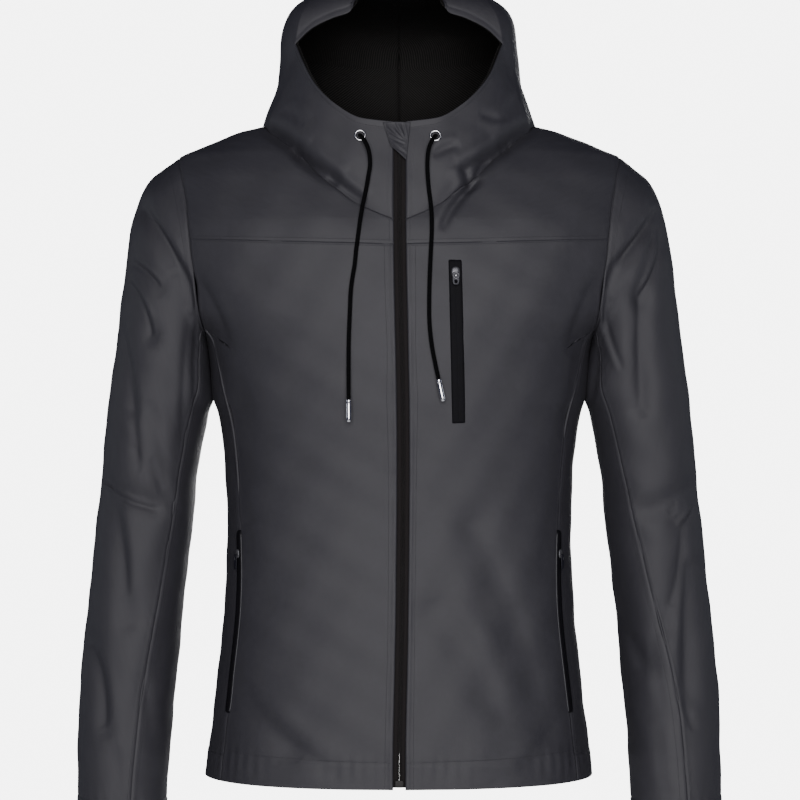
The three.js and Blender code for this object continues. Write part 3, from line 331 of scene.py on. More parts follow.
# %% Curves through points
def hermite(x, y, slope, at):
    """Cubic pieces through (x, y) with the given slopes."""
    i = np.clip(np.searchsorted(x, at) - 1, 0, len(x) - 2)
    span = x[i + 1] - x[i]
    t = np.clip((at - x[i]) / span, 0, 1)
    if y.ndim == 2:
        span, t = span[:, None], t[:, None]
    s = 1 - t
    heights = s * s * (1 + 2 * t) * y[i] + t * t * (1 + 2 * s) * y[i + 1]
    return heights + span * s * t * (s * slope[i] - t * slope[i + 1])


def smooth_path(points, step):
    """Smooth line through points, resampled about every `step`: cubic pieces over the chord length."""
    points = np.asarray(points, float)
    chord = along(points)
    count = max(2, int(round(chord[-1] / step)))
    return hermite(chord, points, np.gradient(points, chord, axis=0), np.linspace(0, chord[-1], count + 1))


def length_of(path):
    return float(along(path)[-1])


def lathe(profile, centre, axis, around=32):
    """Profile of (radius, height) turned round an axis through a centre."""
    axis = unit(np.asarray(axis, float))
    side = unit(np.cross(axis, [1.0, 0.3, 0.2]))
    other = np.cross(axis, side)
    turn = np.linspace(0, 2 * np.pi, around, endpoint=False)
    spoke = np.cos(turn)[:, None] * side + np.sin(turn)[:, None] * other
    radius, height = np.asarray(profile, float).T
    return np.asarray(centre) + radius[:, None, None] * spoke + height[:, None, None] * axis


def tube(path, radius, around=14):
    """A round section carried along a path, closed at both ends by rings that shrink to a point."""
    path = np.asarray(path, float)
    forward = unit(np.gradient(path, axis=0))
    side = unit(np.cross(forward, [1.0, 0.0, 0.0]))
    other = np.cross(forward, side)
    turn = np.linspace(0, 2 * np.pi, around, endpoint=False)
    spoke = np.cos(turn)[None, :, None] * side[:, None] + np.sin(turn)[None, :, None] * other[:, None]
    rings = path[:, None] + radius * spoke
    closed = [path[:1, None] + 0 * rings[:1], rings, path[-1:, None] + 0 * rings[-1:]]
    points = np.concatenate(closed)
    chord = along(path)
    down = np.concatenate([[0], chord, chord[-1:]]) * MM
    uv = np.stack(np.meshgrid(turn / (2 * np.pi), down), axis=-1)
    return points, grid_faces(len(points), around, around=True), uv


# %% Drawcord and its tips
CORD_RADIUS = 2.1
TIP_RADIUS = 2.7
TIP_LONG = 23
CORD_ROUTES = {
    "right": (
        (-39.3, -100.4, -19.5), (-38.6, -104.8, -20.2), (-37, -109, -22.3), (-34.1, -111.9, -26.4),
        (-31, -113.1, -33), (-29, -113.4, -42), (-28.8, -113.7, -52), (-30.4, -114.3, -62),
        (-32.8, -114.8, -76), (-35.7, -115, -89), (-38.5, -117.4, -106), (-40.7, -120.4, -123),
        (-42.5, -122.6, -137), (-43.8, -124.6, -150.5), (-45.9, -126.4, -163), (-47.3, -127.4, -174),
        (-48.3, -128.6, -194), (-49.5, -129.3, -225.5), (-49.7, -129.5, -257), (-49.6, -129.4, -283)),
    "left": (
        (37, -100.6, -20), (36.3, -105, -20.6), (34.9, -109.2, -22.8), (32.4, -112, -27),
        (30, -113.1, -33.4), (28.6, -113.5, -42), (28.2, -113.8, -52), (28.8, -114.3, -64),
        (29.7, -114.8, -74.7), (31.2, -115.4, -86), (32.3, -116.8, -98), (32.6, -118.9, -110),
        (32.3, -121.1, -123.5), (31.5, -123.4, -138), (30.8, -125.4, -152.8), (30.2, -127.3, -168),
        (29.9, -128.8, -184), (30.1, -130, -207), (32.1, -130.3, -227.6), (36.3, -130.1, -250.3),
        (39, -129.9, -263)),
}
CORD_STEP = 1.2
TIP_SIDES = 36
# radius as a share of the tip's, and how far along the tip
TIP_PROFILE = (
    (0, 0.3), (0.86, 0.3), (0.97, 0.9), (1, 1.8), (0.98, 3.4), (0.88, 4), (0.88, 4.6), (0.98, 5.2),
    (1, 7), (0.97, 18), (0.93, 20.6), (0.8, 22.2), (0.5, 22.9), (0, TIP_LONG))

for side, route in CORD_ROUTES.items():
    path = smooth_path(route, CORD_STEP)
    end, direction = path[-1], unit(path[-1] - path[-3])
    profile = [(share * TIP_RADIUS, down) for share, down in TIP_PROFILE]
    rings = lathe(profile, end, direction, around=TIP_SIDES)
    tip = new_piece(f"tip_{side}", rings, grid_faces(len(profile), TIP_SIDES, around=True)[:, ::-1],
                    "cord_tip", replaces=[f"cord_tip_{side}"], merge=True)
    points, faces, uv = tube(path, CORD_RADIUS)
    cord = new_piece(f"cord_{side}", points, faces[:, ::-1], "cord", uv,
                     replaces=[f"drawcord_{side}"], merge=True)
    print(f"cord {side}: {length_of(path):.0f} mm and a tip of {TIP_LONG} mm")

# %% [markdown]
# ## The body's surface
#
# The jacket's body is one smooth surface cut into panels. Each level section is a rounded
# box, a superellipse, whose half width and depths change with the height. A panel is the
# part of that surface between four seams, blended inside them.

# %% Body sections
# height and half width
BODY_WIDTHS = (
    (-680, 201), (-670, 200), (-617, 194), (-575, 189), (-533, 184.6), (-491, 181), (-450, 179),
    (-410, 178.4), (-366, 180), (-325, 183.5), (-281, 191), (-226, 198), (-190, 226), (-150, 240),
    (-100, 246), (-60, 243), (-33, 228), (-24, 208), (-13.5, 182.5), (-8, 168), (-3, 149), (0, 139),
    (6, 120))
# height and depth in front of the shoulder line, and behind it
BODY_FRONT = ((-680, 122), (-410, 112), (-220, 128), (-120, 118), (-60, 97), (-30, 80), (0, 62), (6, 59))
BODY_BACK = ((-680, 125), (-410, 105), (-220, 132), (-120, 130), (-60, 112), (-30, 98), (0, 80), (6, 77))
SQUARENESS = 2.35
HEM = -670
YOKE_AT_ZIP = -129
NECK_FRONT = -104
SHOULDER_TIP = -33
SHOULDER_POWER = 1.2
ZIP_MIDDLE = ((-670, 0.3), (-655, 0.3), (-500, 3), (-335, 4.3), (-85, 0.6), (0, 0.6))
ZIP_HALF_GAP = 6


def smooth(table, at):
    """Curve through a table's rows with no overshoot: inner slopes are harmonic means, ends straight."""
    x, y = np.asarray(table, float).T
    at = np.asarray(at, float)
    rise = np.diff(y) / np.diff(x)
    product = rise[:-1] * rise[1:]
    total = np.where(product > 0, rise[:-1] + rise[1:], 1)
    slope = np.concatenate([rise[:1], np.where(product > 0, 2 * product / total, 0), rise[-1:]])
    flat = at.reshape(-1)
    inside = hermite(x, y, slope, np.clip(flat, x[0], x[-1]))
    beyond = np.minimum(flat - x[0], 0) * slope[0] + np.maximum(flat - x[-1], 0) * slope[-1]
    return (inside + beyond).reshape(at.shape)


def powered(value, exponent):
    return np.sign(value) * np.abs(value) ** exponent


def mixed(a, b, t):
    return a + (b - a) * t


def bare_body(angle, z):
    """x = half width * sin^(2/2.35), y = -depth * cos^(2/2.35); angle 0 is the front, 90 the side."""
    sin, cos = np.sin(np.radians(angle)), np.cos(np.radians(angle))
    depth = np.where(cos > 0, smooth(BODY_FRONT, z), smooth(BODY_BACK, z))
    x = smooth(BODY_WIDTHS, z) * powered(sin, 2 / SQUARENESS)
    return np.stack([x, -depth * powered(cos, 2 / SQUARENESS), z + 0 * x], axis=-1)


def angle_at(x, z):
    """Angle round the body at which it is x away from the middle."""
    ratio = np.minimum(1, np.abs(x) / smooth(BODY_WIDTHS, z))
    return np.degrees(np.arcsin(ratio ** (SQUARENESS / 2)))


def zip_edge(sign, z):
    return angle_at(ZIP_HALF_GAP + sign * smooth(ZIP_MIDDLE, z), z)


print(f"chest is about {2 * smooth(BODY_WIDTHS, -226.0):.0f} mm across")

# %% [markdown]
# The seams are lines on that surface. The armhole is an upright loop, the shoulder seam
# runs down the side line, the side seams lean with the height, and the neckline drops
# from the neck's side to the zip.

# %% Seam lines
ARMHOLE_MIDDLE, ARMHOLE_HALF = -129.5, 96.5
ARMHOLE_REACH = ((-226, 198), (-215, 201), (-190, 205), (-150, 209), (-100, 214), (-60, 221), (-33, 228))
YOKE_TURN, SIDE_FRONT_TURN, SIDE_BACK_TURN = 85, 150, 210
SIDE_SEAM = (
    (-670, 62.8), (-602, 63), (-499, 61.5), (-372, 64.5), (-307, 65), (-268, 68.5), (-240, 71.5),
    (-213.07, 74.2))
NECK_ANGLE = ((0, 1.4), (1, 7.1), (2, 13.6), (3, 22.8), (4, 39.6), (5, 62), (6, 90))
NECK_HEIGHT = ((0, -104), (1, -88), (2, -65), (3, -34), (4, -14), (5, -3.8), (6, 0))
NECK_SIDE, HOOD_BACK, HOOD_CORNER = 6, 13, 5


def pairs(angle, z):
    return np.stack(np.broadcast_arrays(angle, z), axis=-1)


def armhole(turn):
    """Angle and height of the armhole loop: turn 0 is the shoulder, 90 the front, 180 the underarm."""
    z = ARMHOLE_MIDDLE + ARMHOLE_HALF * np.cos(np.radians(turn))
    angle = angle_at(smooth(ARMHOLE_REACH, z), z)
    return pairs(np.where(np.asarray(turn) > 180, 180 - angle, angle), z)


def arm(start, stop):
    return lambda t: armhole(mixed(start, stop, t))


def side_front(t):
    z = mixed(HEM, SIDE_SEAM[-1][0], t)
    return pairs(smooth(SIDE_SEAM, z), z)


def side_back(t):
    return side_front(t) * [-1, 1] + [180, 0]


def shoulder(t):
    return pairs(90.0, SHOULDER_TIP * t ** SHOULDER_POWER)


def neckline(sign, column):
    """Angle and height of the neckline at a column: 0 zip, 6 neck's side, 13 middle of the back."""
    start = zip_edge(sign, NECK_FRONT) - NECK_ANGLE[0][1]
    front = pairs(smooth(NECK_ANGLE, column) + start * np.maximum(0, 1 - column),
                  smooth(NECK_HEIGHT, column))
    behind = pairs(mixed(90.0, 180.0, (column - NECK_SIDE) / (HOOD_BACK - NECK_SIDE)), 0.0)
    return np.where((column >= NECK_SIDE)[..., None], behind, front)


def line(start, stop):
    """Straight edge between two (angle, height) places."""
    return lambda t: mixed(np.asarray(start, float), np.asarray(stop, float), np.asarray(t)[:, None])


def joined(*parts):
    """One edge from several parts, each counting for a number of steps."""
    ends = np.cumsum([count for count, _ in parts])

    def edge(t):
        at = np.asarray(t) * ends[-1]
        out = np.zeros((len(at), 2))
        for (count, part), end in zip(parts, ends):
            here = (at >= end - count) & (at <= end)
            out[here] = part(np.clip((at[here] - end + count) / count, 0, 1))
        return out
    return edge


def mirrored_edge(edge):
    return lambda t: edge(t) * [-1, 1] + [360, 0]


print("armhole corners:", armhole(np.array([YOKE_TURN, SIDE_FRONT_TURN])).round(1).tolist())

# %% [markdown]
# ## Creases
#
# The large folds are the same soft troughs that the solids have. On top of them lie finer
# creases, each with a trough and a low ridge beside it, because cloth that is pushed
# together rises where it can't sink. They are drawn as seen from the front or from the
# back: x away from the middle and z up.

# %% Large folds
# x1, z1, x2, z2, depth, width
SLEEVE_FOLDS = {
    "right": (
        (262, -88, 209, -170, 6, 11), (275, -143, 243, -169, 4, 11), (280, -170, 253, -218, 4.5, 11),
        (286, -208, 274, -290, 4, 12), (302, -376, 249, -393, 5, 13), (298, -390, 275, -508, 4, 13),
        (316, -530, 300, -617, 4, 12)),
    "left": (
        (262, -97, 206, -166, 6, 11), (266, -114, 246, -180, 4.5, 11), (246, -180, 245, -290, 4, 12),
        (302, -376, 255, -396, 4.5, 13), (286, -411, 276, -512, 4, 13), (302, -455, 297, -585, 4, 12),
        (222, -484, 248, -554, 3.5, 12)),
}
BODY_FOLDS = {
    "right": ((203, -175, 168, -290, 6, 22), (168, -290, 158, -360, 4, 20), (158, -590, 112, -630, 3, 20)),
    "left": ((198, -180, 176, -290, 5, 22), (74, -410, 150, -610, 3.5, 22), (38, -495, 100, -600, 3, 20)),
}
BACK_SHARE = 0.7


# height and how far both cloths swell where the sleeve lies against the body
UNDERARM_SWELL = (
    (-300, 0), (-294, 0.4), (-286, 1.9), (-279, 2.7), (-264, 2.4), (-252, 2.1), (-240, 1.7), (-230, 1.4),
    (-220, 0.6), (-210, 0))


def swelling(z):
    return smooth(UNDERARM_SWELL, np.clip(z, UNDERARM_SWELL[0][0], UNDERARM_SWELL[-1][0]))


def folds(table, x, z):
    """Sum over rows of depth * exp(-(distance to the segment / width)^2)."""
    total = np.zeros_like(x)
    for x1, z1, x2, z2, deep, wide in table:
        long = (x2 - x1) ** 2 + (z2 - z1) ** 2
        t = np.clip(((x - x1) * (x2 - x1) + (z - z1) * (z2 - z1)) / long, 0, 1)
        away = np.hypot(x - mixed(x1, x2, t), z - mixed(z1, z2, t))
        total += deep * np.exp(-(away / wide) ** 2)
    return total


# a crease's loss of depth towards its ends, and shares of its width
FADE = 0.45
STEEP, GENTLE, RIDGE_AT, RIDGE_WIDE = 0.75, 1.2, 1.8, 1.1


def creases(table, x, z):
    """Rows x1, z1, x2, z2, bow, depth, width, ridge: a bowed trough with a ridge on its steep left."""
    total = np.zeros_like(x)
    for x1, z1, x2, z2, bow, deep, wide, ridge in table:
        long = np.hypot(x2 - x1, z2 - z1)
        way = ((x - x1) * (x2 - x1) + (z - z1) * (z2 - z1)) / long ** 2
        t = np.clip(way, 0, 1)
        off = ((x2 - x1) * (z - z1) - (z2 - z1) * (x - x1)) / long - bow * 4 * t * (1 - t)
        beyond = (way - t) * long
        strength = deep * np.sin(np.pi * t) ** FADE * np.exp(-(beyond / wide) ** 2)
        total += strength * np.exp(-(off / (wide * np.where(off > 0, STEEP, GENTLE))) ** 2)
        total -= ridge * strength * np.exp(-((off - RIDGE_AT * wide) / (RIDGE_WIDE * wide)) ** 2)
    return total


# %% Fine creases
SLEEVE_CREASES = {
    "right": (
        (209, -170, 265, -84, 3, 3.0, 3.2, 0.5), (243, -169, 276, -142, 2, 2.6, 2.6, 0.5),
        (222, -154, 238, -160, 1, 1.2, 2.2, 0.5), (253, -220, 279, -163, 6, 2.6, 3, 0.5),
        (266, -345, 288, -204, 3, 2.2, 5, 0.35), (238, -375, 253, -284, 3, 1.4, 6, 0.3),
        (211, -192, 208, -164, 2, 3.4, 6, 0.3), (203, -184, 209, -300, 3, 1.6, 3.4, 0.5),
        (212, -196, 222, -330, 2, 1.2, 4, 0.4), (244, -396, 305, -373, -3, 1.6, 2.4, 0.5),
        (296, -376, 308, -370, 0, 2.6, 2.4, 0.4), (278, -484, 292, -386, 3, 2, 6, 0.35),
        (225, -400, 252, -344, -3, 1.8, 5, 0.4), (266, -360, 270, -330, 2, 1.2, 5, 0.3),
        (300, -616, 318, -536, 7, 3, 6, 0.3), (252, -640, 262, -560, 3, 1, 6, 0.3),
        (284, -700, 290, -630, 3, 1.2, 7, 0.3)),
    "left": (
        (214, -150, 266, -86, -3, 3.4, 3, 0.5), (190, -188, 217, -147, -2, 3.2, 6, 0.25),
        (247, -178, 271, -112, -5, 3, 2.8, 0.5), (253, -133, 264, -113, -1, 1.6, 2.2, 0.4),
        (249, -302, 246, -180, 3, 2.2, 7, 0.3), (227, -254, 205, -174, 3, 1.8, 2.6, 0.6),
        (199, -288, 203, -228, -2, 2, 2.8, 0.6), (207, -178, 216, -186, 0, 1.4, 2.4, 0.5),
        (290, -414, 304, -391, -2, 2.4, 3, 0.5), (277, -494, 291, -412, -4, 2.2, 6, 0.35),
        (286, -388, 276, -400, 1, 1, 3, 0.4), (291, -586, 300, -446, 3, 2.6, 6.5, 0.3),
        (248, -557, 219, -482, 3, 2.2, 5.5, 0.4), (241, -645, 226, -570, 3, 2, 6, 0.3),
        (268, -600, 258, -516, 2, 1, 5, 0.3), (300, -620, 291, -584, 2, 1.6, 5, 0.3),
        (272, -690, 262, -610, 2, 0.9, 5, 0.3)),
}
BODY_CREASES = {
    "right": (
        (172, -236, 206, -160, 4, 2.4, 6, 0.4), (178, -330, 198, -200, 4, 1.8, 7, 0.4),
        (150, -470, 176, -330, 6, 1.4, 10, 0.3), (96, -640, 166, -560, -6, 1.6, 10, 0.4),
        (60, -655, 130, -600, -4, 1, 8, 0.4), (170, -420, 140, -402, -3, 0.9, 6, 0.4)),
    "left": (
        (172, -240, 202, -158, 4, 2.2, 6, 0.4), (170, -340, 190, -210, 4, 1.8, 7, 0.4),
        (70, -400, 150, -620, 10, 1.3, 12, 0.3), (36, -480, 106, -610, 8, 1.2, 11, 0.3),
        (148, -460, 172, -330, 5, 1.2, 9, 0.3), (116, -652, 160, -610, -3, 1.2, 7, 0.4),
        (90, -664, 150, -640, -2, 0.8, 6, 0.4)),
}
NECK_CREASES = {
    "right": (
        (96, -36, 141, -3, 2, 8, 7, 0.22), (58, -65, 108, -28, -2, 7.5, 6.5, 0.25),
        (34, -86, 70, -57, -1, 4.5, 4.5, 0.3), (96, -8, 118, 12, 3, 1.6, 6, 0.5)),
    "left": (
        (100, -30, 140, -3, 2, 7.5, 7, 0.22), (62, -54, 112, -22, -2, 8, 6, 0.25),
        (70, -76, 63, -50, -2, 6, 5, 0.3), (42, -114, 82, -62, 5, 4, 4, 0.4),
        (76, -66, 90, -40, 3, 3.5, 4.5, 0.4), (34, -40, 60, -28, 2, 2.4, 4.5, 0.4),
        (108, -4, 121, 28, 2, 2, 5, 0.6), (108, 0, 80, 4, 2, 1.4, 4, 0.5)),
}
# the back's creases, x positive on the wearer's left
BACK_CREASES = (
    (-196, -170, -120, -300, 8, 2.2, 12, 0.4), (198, -165, 128, -310, -8, 2.2, 12, 0.4),
    (-60, -60, -30, -230, 6, 1.4, 16, 0.3), (70, -70, 36, -250, -6, 1.4, 16, 0.3),
    (-165, -430, -60, -402, -6, 1.8, 9, 0.4), (160, -440, 70, -408, 6, 1.8, 9, 0.4),
    (-150, -470, -40, -560, 8, 1.8, 14, 0.35), (140, -480, 30, -590, -8, 1.8, 14, 0.35),
    (-90, -560, -20, -640, 5, 1.3, 12, 0.3), (100, -570, 60, -650, -5, 1.3, 12, 0.3))


def unevenness(x, y, z):
    """Soft lack of flatness everywhere: a few long waves at odd angles."""
    return (0.40 * np.sin(0.061 * x + 0.043 * z + 1.0) * np.sin(0.037 * z - 0.05 * y)
            + 0.28 * np.sin(0.118 * x - 0.071 * z + 0.05 * y) + 0.20 * np.sin(0.155 * z + 0.09 * x + 2.0))


tables = (SLEEVE_CREASES, BODY_CREASES, NECK_CREASES)
print("fine creases:", sum(len(rows) for table in tables for rows in table.values()))

# %% [markdown]
# ## A panel of cloth
#
# Every panel gets the same care at its edges. At a seam the cloth dips to the stitches
# and rises beside them in a welt, with small puckers. A hem is turned up and sewn, so it is
# a little thicker. The grid is therefore finer near the edges than inside.

# %% Edges and panels
SEAM_STATIONS = (0, 0.7, 1.5, 2.4, 3.5, 5, 6.8, 9)
HEM_STATIONS = (0, 0.8, 2.2, 5, 9, 13, 17, 21, 24, 25.6, 26.6, 27.6, 29)
# bumps as height, distance from the edge and width; then the puckers' height and reach
EDGES = {
    "seam": (((0.26, 3.2, 1.9), (-0.3, 0, 1.1), (-0.14, 5, 0.8)), 0.14, 8),
    "flat": (((0.08, 3, 2), (-0.2, 0, 0.9)), 0.06, 7),
    "zip": (((0.5, 2.4, 2.2), (-0.5, 5, 0.8), (-0.3, 0, 0.8)), 0.15, 9),
    "rim": (((0.8, 0, 4), (-0.4, 6.8, 1)), 0, 1),
}
STITCH_AT = {"seam": 5, "flat": 3, "zip": 5, "hem": 10, "rim": 6}
CLOTH = 1.5


def stations(long, step, low="seam", high="seam"):
    """Places from 0 to 1 along a length: given ones near each end, evenly spaced between."""
    start = np.array(HEM_STATIONS if low == "hem" else SEAM_STATIONS, float)
    stop = np.array(HEM_STATIONS if high == "hem" else SEAM_STATIONS, float)
    count = max(3, int(round((long - start[-1] - stop[-1]) / step)))
    inner = np.linspace(start[-1], long - stop[-1], count)
    return np.concatenate([start, inner[1:-1], long - stop[::-1]]) / long


def border_distances(points):
    """Distance along the grid from each of its four borders, and along each border."""
    across = np.linalg.norm(np.diff(points, axis=1), axis=2)
    up = np.linalg.norm(np.diff(points, axis=0), axis=2)
    x = np.concatenate([np.zeros((len(points), 1)), np.cumsum(across, axis=1)], axis=1)
    z = np.concatenate([np.zeros((1, points.shape[1])), np.cumsum(up, axis=0)])
    return {"first": (x, z), "last": (x[:, -1:] - x, z), "hem": (z, x), "top": (z[-1:] - z, x)}, x, z


def bump(away, high, at, wide):
    return high * np.exp(-((away - at) / wide) ** 2)


def edge_relief(kind, away, along_edge):
    """How far the cloth is lifted near an edge of a kind, from the distance to it and along it."""
    swing = 2 * np.pi * along_edge / 13 + 2.6 * np.sin(along_edge / 31)
    wave = np.sin(swing) * np.sin(along_edge / 47 + 1) ** 2
    if kind == "hem":
        turned = 0.5 - 0.5 * np.tanh(away - 26.6)
        return 0.5 * turned - bump(away, 0.5, 26.6, 1.1) + wave * bump(away, 0.35, 20, 14)
    if kind not in EDGES:
        return np.zeros_like(away)
    bumps, pucker, reach = EDGES[kind]
    return sum(bump(away, *row) for row in bumps) + pucker * wave * np.exp(-away / reach)


SEWN = {"body": [], "sleeves": [], "hood": []}
# the neck's creases push both the hood and the yoke the same way: back and a little down
NECK_PUSH = np.array((0, 1, -0.25))


def add_wall(piece, thick):
    """Cloth's thickness, on the inner side of its surface."""
    wall = piece.modifiers.new("wall", "SOLIDIFY")
    wall.thickness = thick * MM
    wall.offset = -1


def cloth(name, points, depth, edges, sign, group, push=0):
    """Panel from its smooth grid: creases and edges move each point along its normal."""
    rows, columns = points.shape[:2]
    faces = grid_faces(rows, columns)
    around = face_normals_at_points(points.reshape(-1, 3), faces).reshape(points.shape)
    borders, x, z = border_distances(points)
    lift = -depth
    for border, kind in edges.items():
        lift = lift + edge_relief(kind, *borders[border])
    final = points + lift[..., None] * around + np.multiply.outer(push + 0 * lift, NECK_PUSH)
    final[..., 0] *= sign
    around = around * [sign, 1, 1]
    take = {"first": lambda k: (slice(None), k), "last": lambda k: (slice(None), -1 - k),
            "hem": lambda k: (k, slice(None)), "top": lambda k: (-1 - k, slice(None))}
    for border, kind in edges.items():
        if kind in STITCH_AT:
            at = take[border](STITCH_AT[kind])
            SEWN[group].append((final[at], around[at]))
    uv = np.stack([x, z], axis=-1) * MM
    piece = new_piece(f"cloth_{name}", final, outward(faces, sign), "shell", uv, replaces=[name])
    add_wall(piece, CLOTH)
    return piece


def coons(hem, top, first, last, u, v, lean):
    """Level edges blended by v^lean plus upright ones blended by u, less the four corners' blend."""
    across, up = np.meshgrid(u, v ** lean)
    across, up = across[..., None], up[..., None]
    low, high = hem(u)[None], top(u)[None]
    near, far = first(v)[:, None], last(v)[:, None]
    corners = mixed(mixed(low[:, :1], low[:, -1:], across), mixed(high[:, :1], high[:, -1:], across), up)
    return mixed(low, high, up) + mixed(near, far, across) - corners


def body_panel(name, sign, rails, size, step, edges, fine, lean=1):
    """Body panel between rails of (angle, height); a high lean keeps the top's slope near the top."""
    u = stations(size[0], step, edges.get("first"), edges.get("last"))
    v = stations(size[1], step, edges.get("hem"), edges.get("top"))
    place = coons(*rails, u, v, lean)
    points = bare_body(place[..., 0], place[..., 1])
    cos = np.cos(np.radians(place[..., 0]))
    share = np.abs(powered(cos, 2 / SQUARENESS)) * np.where(cos > 0, 1, BACK_SHARE)
    x, y, z = np.moveaxis(points, -1, 0)
    sides = ("left", "right") if sign > 0 else ("right", "left")
    table = [folds(BODY_FOLDS[side], np.abs(x), z) for side in sides]
    depth = share * (np.where(x >= 0, *table) + creases(fine, x, z)) + unevenness(x * sign, y, z)
    depth -= swelling(z) * np.sin(np.radians(place[..., 0])) ** 4
    push = creases(NECK_CREASES[sides[0]], x, z) if name != "back" else 0
    return cloth(name, points, depth, edges, sign, "body", push)


# %% Panels of the body
# about how wide and high each panel is, and its grid's step, so that each has even squares
PANEL_GRIDS = {"yoke": ((215, 112), 2), "front": ((190, 541), 2.1), "side": ((150, 460), 3),
               "back": ((430, 650), 3.4)}
# the back's level lines keep the shoulders' slope only near the shoulders
BACK_LEAN = 6

for side, sign in SIDES.items():
    yoke_low = (float(zip_edge(sign, YOKE_AT_ZIP)), YOKE_AT_ZIP)
    yoke_corner = armhole(YOKE_TURN)
    seam_low = side_front(np.zeros(1))[0]
    crease = BODY_CREASES[side]
    body_panel(f"yoke_{side}", sign, (
        line(yoke_low, yoke_corner), shoulder,
        joined((1, line(yoke_low, neckline(sign, np.zeros(1))[0])), (6, lambda t: neckline(sign, 6 * t))),
        arm(YOKE_TURN, 0)), *PANEL_GRIDS["yoke"],
        {"hem": "flat", "top": "hidden", "first": "flat", "last": "seam"}, crease)
    body_panel(f"front_{side}", sign, (
        line((zip_edge(sign, HEM), HEM), seam_low), line(yoke_low, yoke_corner),
        lambda t: pairs(zip_edge(sign, mixed(HEM, YOKE_AT_ZIP, t)), mixed(HEM, YOKE_AT_ZIP, t)),
        joined((12, side_front), (5, arm(SIDE_FRONT_TURN, YOKE_TURN)))),
        *PANEL_GRIDS["front"], {"hem": "hem", "top": "flat", "first": "zip", "last": "seam"}, crease)
    body_panel(f"side_{side}", sign, (
        line(seam_low, side_back(np.zeros(1))[0]), arm(SIDE_FRONT_TURN, SIDE_BACK_TURN),
        side_front, side_back),
        *PANEL_GRIDS["side"], {"hem": "hem", "top": "seam", "first": "seam", "last": "seam"}, crease)

neck_behind = lambda t: neckline(1, NECK_SIDE + (HOOD_BACK - NECK_SIDE) * t)
half_top = joined((7, lambda t: shoulder(1 - t)), (7, neck_behind))
other_top = joined((7, lambda t: mirrored_edge(neck_behind)(1 - t)), (7, mirrored_edge(shoulder)))
back_edge = joined((12, side_back), (8, arm(SIDE_BACK_TURN, 360)))
back_low = side_back(np.zeros(1))[0]
body_panel("back", 1, (
    line(back_low, (360 - back_low[0], HEM)), joined((14, half_top), (14, other_top)),
    back_edge, mirrored_edge(back_edge)), *PANEL_GRIDS["back"],
    {"hem": "hem", "top": "flat", "first": "seam", "last": "seam"}, BACK_CREASES, lean=BACK_LEAN)

# %% [markdown]
# ## Sleeves
#
# A two-piece sleeve follows the arm's slight bend. Each ring is an ellipse between an
# outer and an inner point, and the first rings are drawn to the armhole's own loop, so the
# sleeve's head meets the body all round.

# %% Sleeve rings
# outer x and z, inner x and z, half depth, middle y
SLEEVE = np.array((
    (228, -33, 198.4, -226, 71.7, 3), (244, -45, 198.4, -229, 71.5, 3), (257, -55, 198.2, -233, 71, 3),
    (266, -69, 197.8, -238, 70, 3), (274, -88, 197.3, -244, 69, 3), (280, -114, 196.6, -252, 68, 3),
    (285, -150, 195.8, -264, 67, 3), (290, -190, 195.2, -280, 66, 4), (295, -230, 198.8, -300, 64.5, 5),
    (302, -280, 204.5, -328, 63, 6), (307, -330, 210.5, -366, 61.5, 7), (312.5, -388, 215, -412, 60, 8),
    (318, -440, 220.5, -460, 58.5, 6), (322.5, -492, 225.5, -508, 56.5, 2), (328, -545, 229.5, -557, 54, -4),
    (331, -596, 233.5, -606, 51.5, -11), (331.5, -645, 237, -653, 49, -18), (331, -690, 239, -695, 46.5, -25),
    (330.5, -716, 240.5, -719, 45, -28)))
RINGS = np.arange(len(SLEEVE))
FITTED_RINGS = 4
SURFACE_GAP = 0.45
SLEEVE_SEAMS = {
    "right": {"front": ((0, 150), (9, 136), (12, 127), (15, 112), (18, 104)),
              "back": ((0, 210), (9, 214), (12, 217), (15, 221), (18, 225))},
    "left": {"front": ((0, 150), (9, 132), (12, 112), (15, 87), (18, 79)),
             "back": ((0, 210), (9, 214), (12, 217), (15, 221), (18, 225))},
}


def sleeve_ring(ring, turn):
    """Ellipse from the outer to the inner point: mix by (1 + cos) / 2, and y = middle - depth * sin."""
    out_x, out_z, in_x, in_z, depth, middle = (
        smooth(np.stack([RINGS, row], axis=1), ring) for row in SLEEVE.T)
    share = (1 + np.cos(np.radians(turn))) / 2
    return np.stack([mixed(in_x, out_x, share), middle - depth * np.sin(np.radians(turn)),
                     mixed(in_z, out_z, share)], axis=-1)


def sleeve_points(ring, turn):
    """The rings, the first four drawn to the armhole by (1 - ring / 4)^1.5."""
    points = sleeve_ring(ring, turn)
    place = armhole(np.mod(turn, 360))
    seat = bare_body(place[..., 0], place[..., 1])
    seat[..., 0] = smooth(ARMHOLE_REACH, place[..., 1]) + SURFACE_GAP
    fitted = np.maximum(0, 1 - ring / FITTED_RINGS) ** 1.5
    return points + fitted[..., None] * (seat - sleeve_ring(0 * ring, turn))


# about how wide each piece is, and its grid's step
SLEEVE_LONG = 620
SLEEVE_GRIDS = {"top": (300, 2.15), "under": (75, 3.2)}


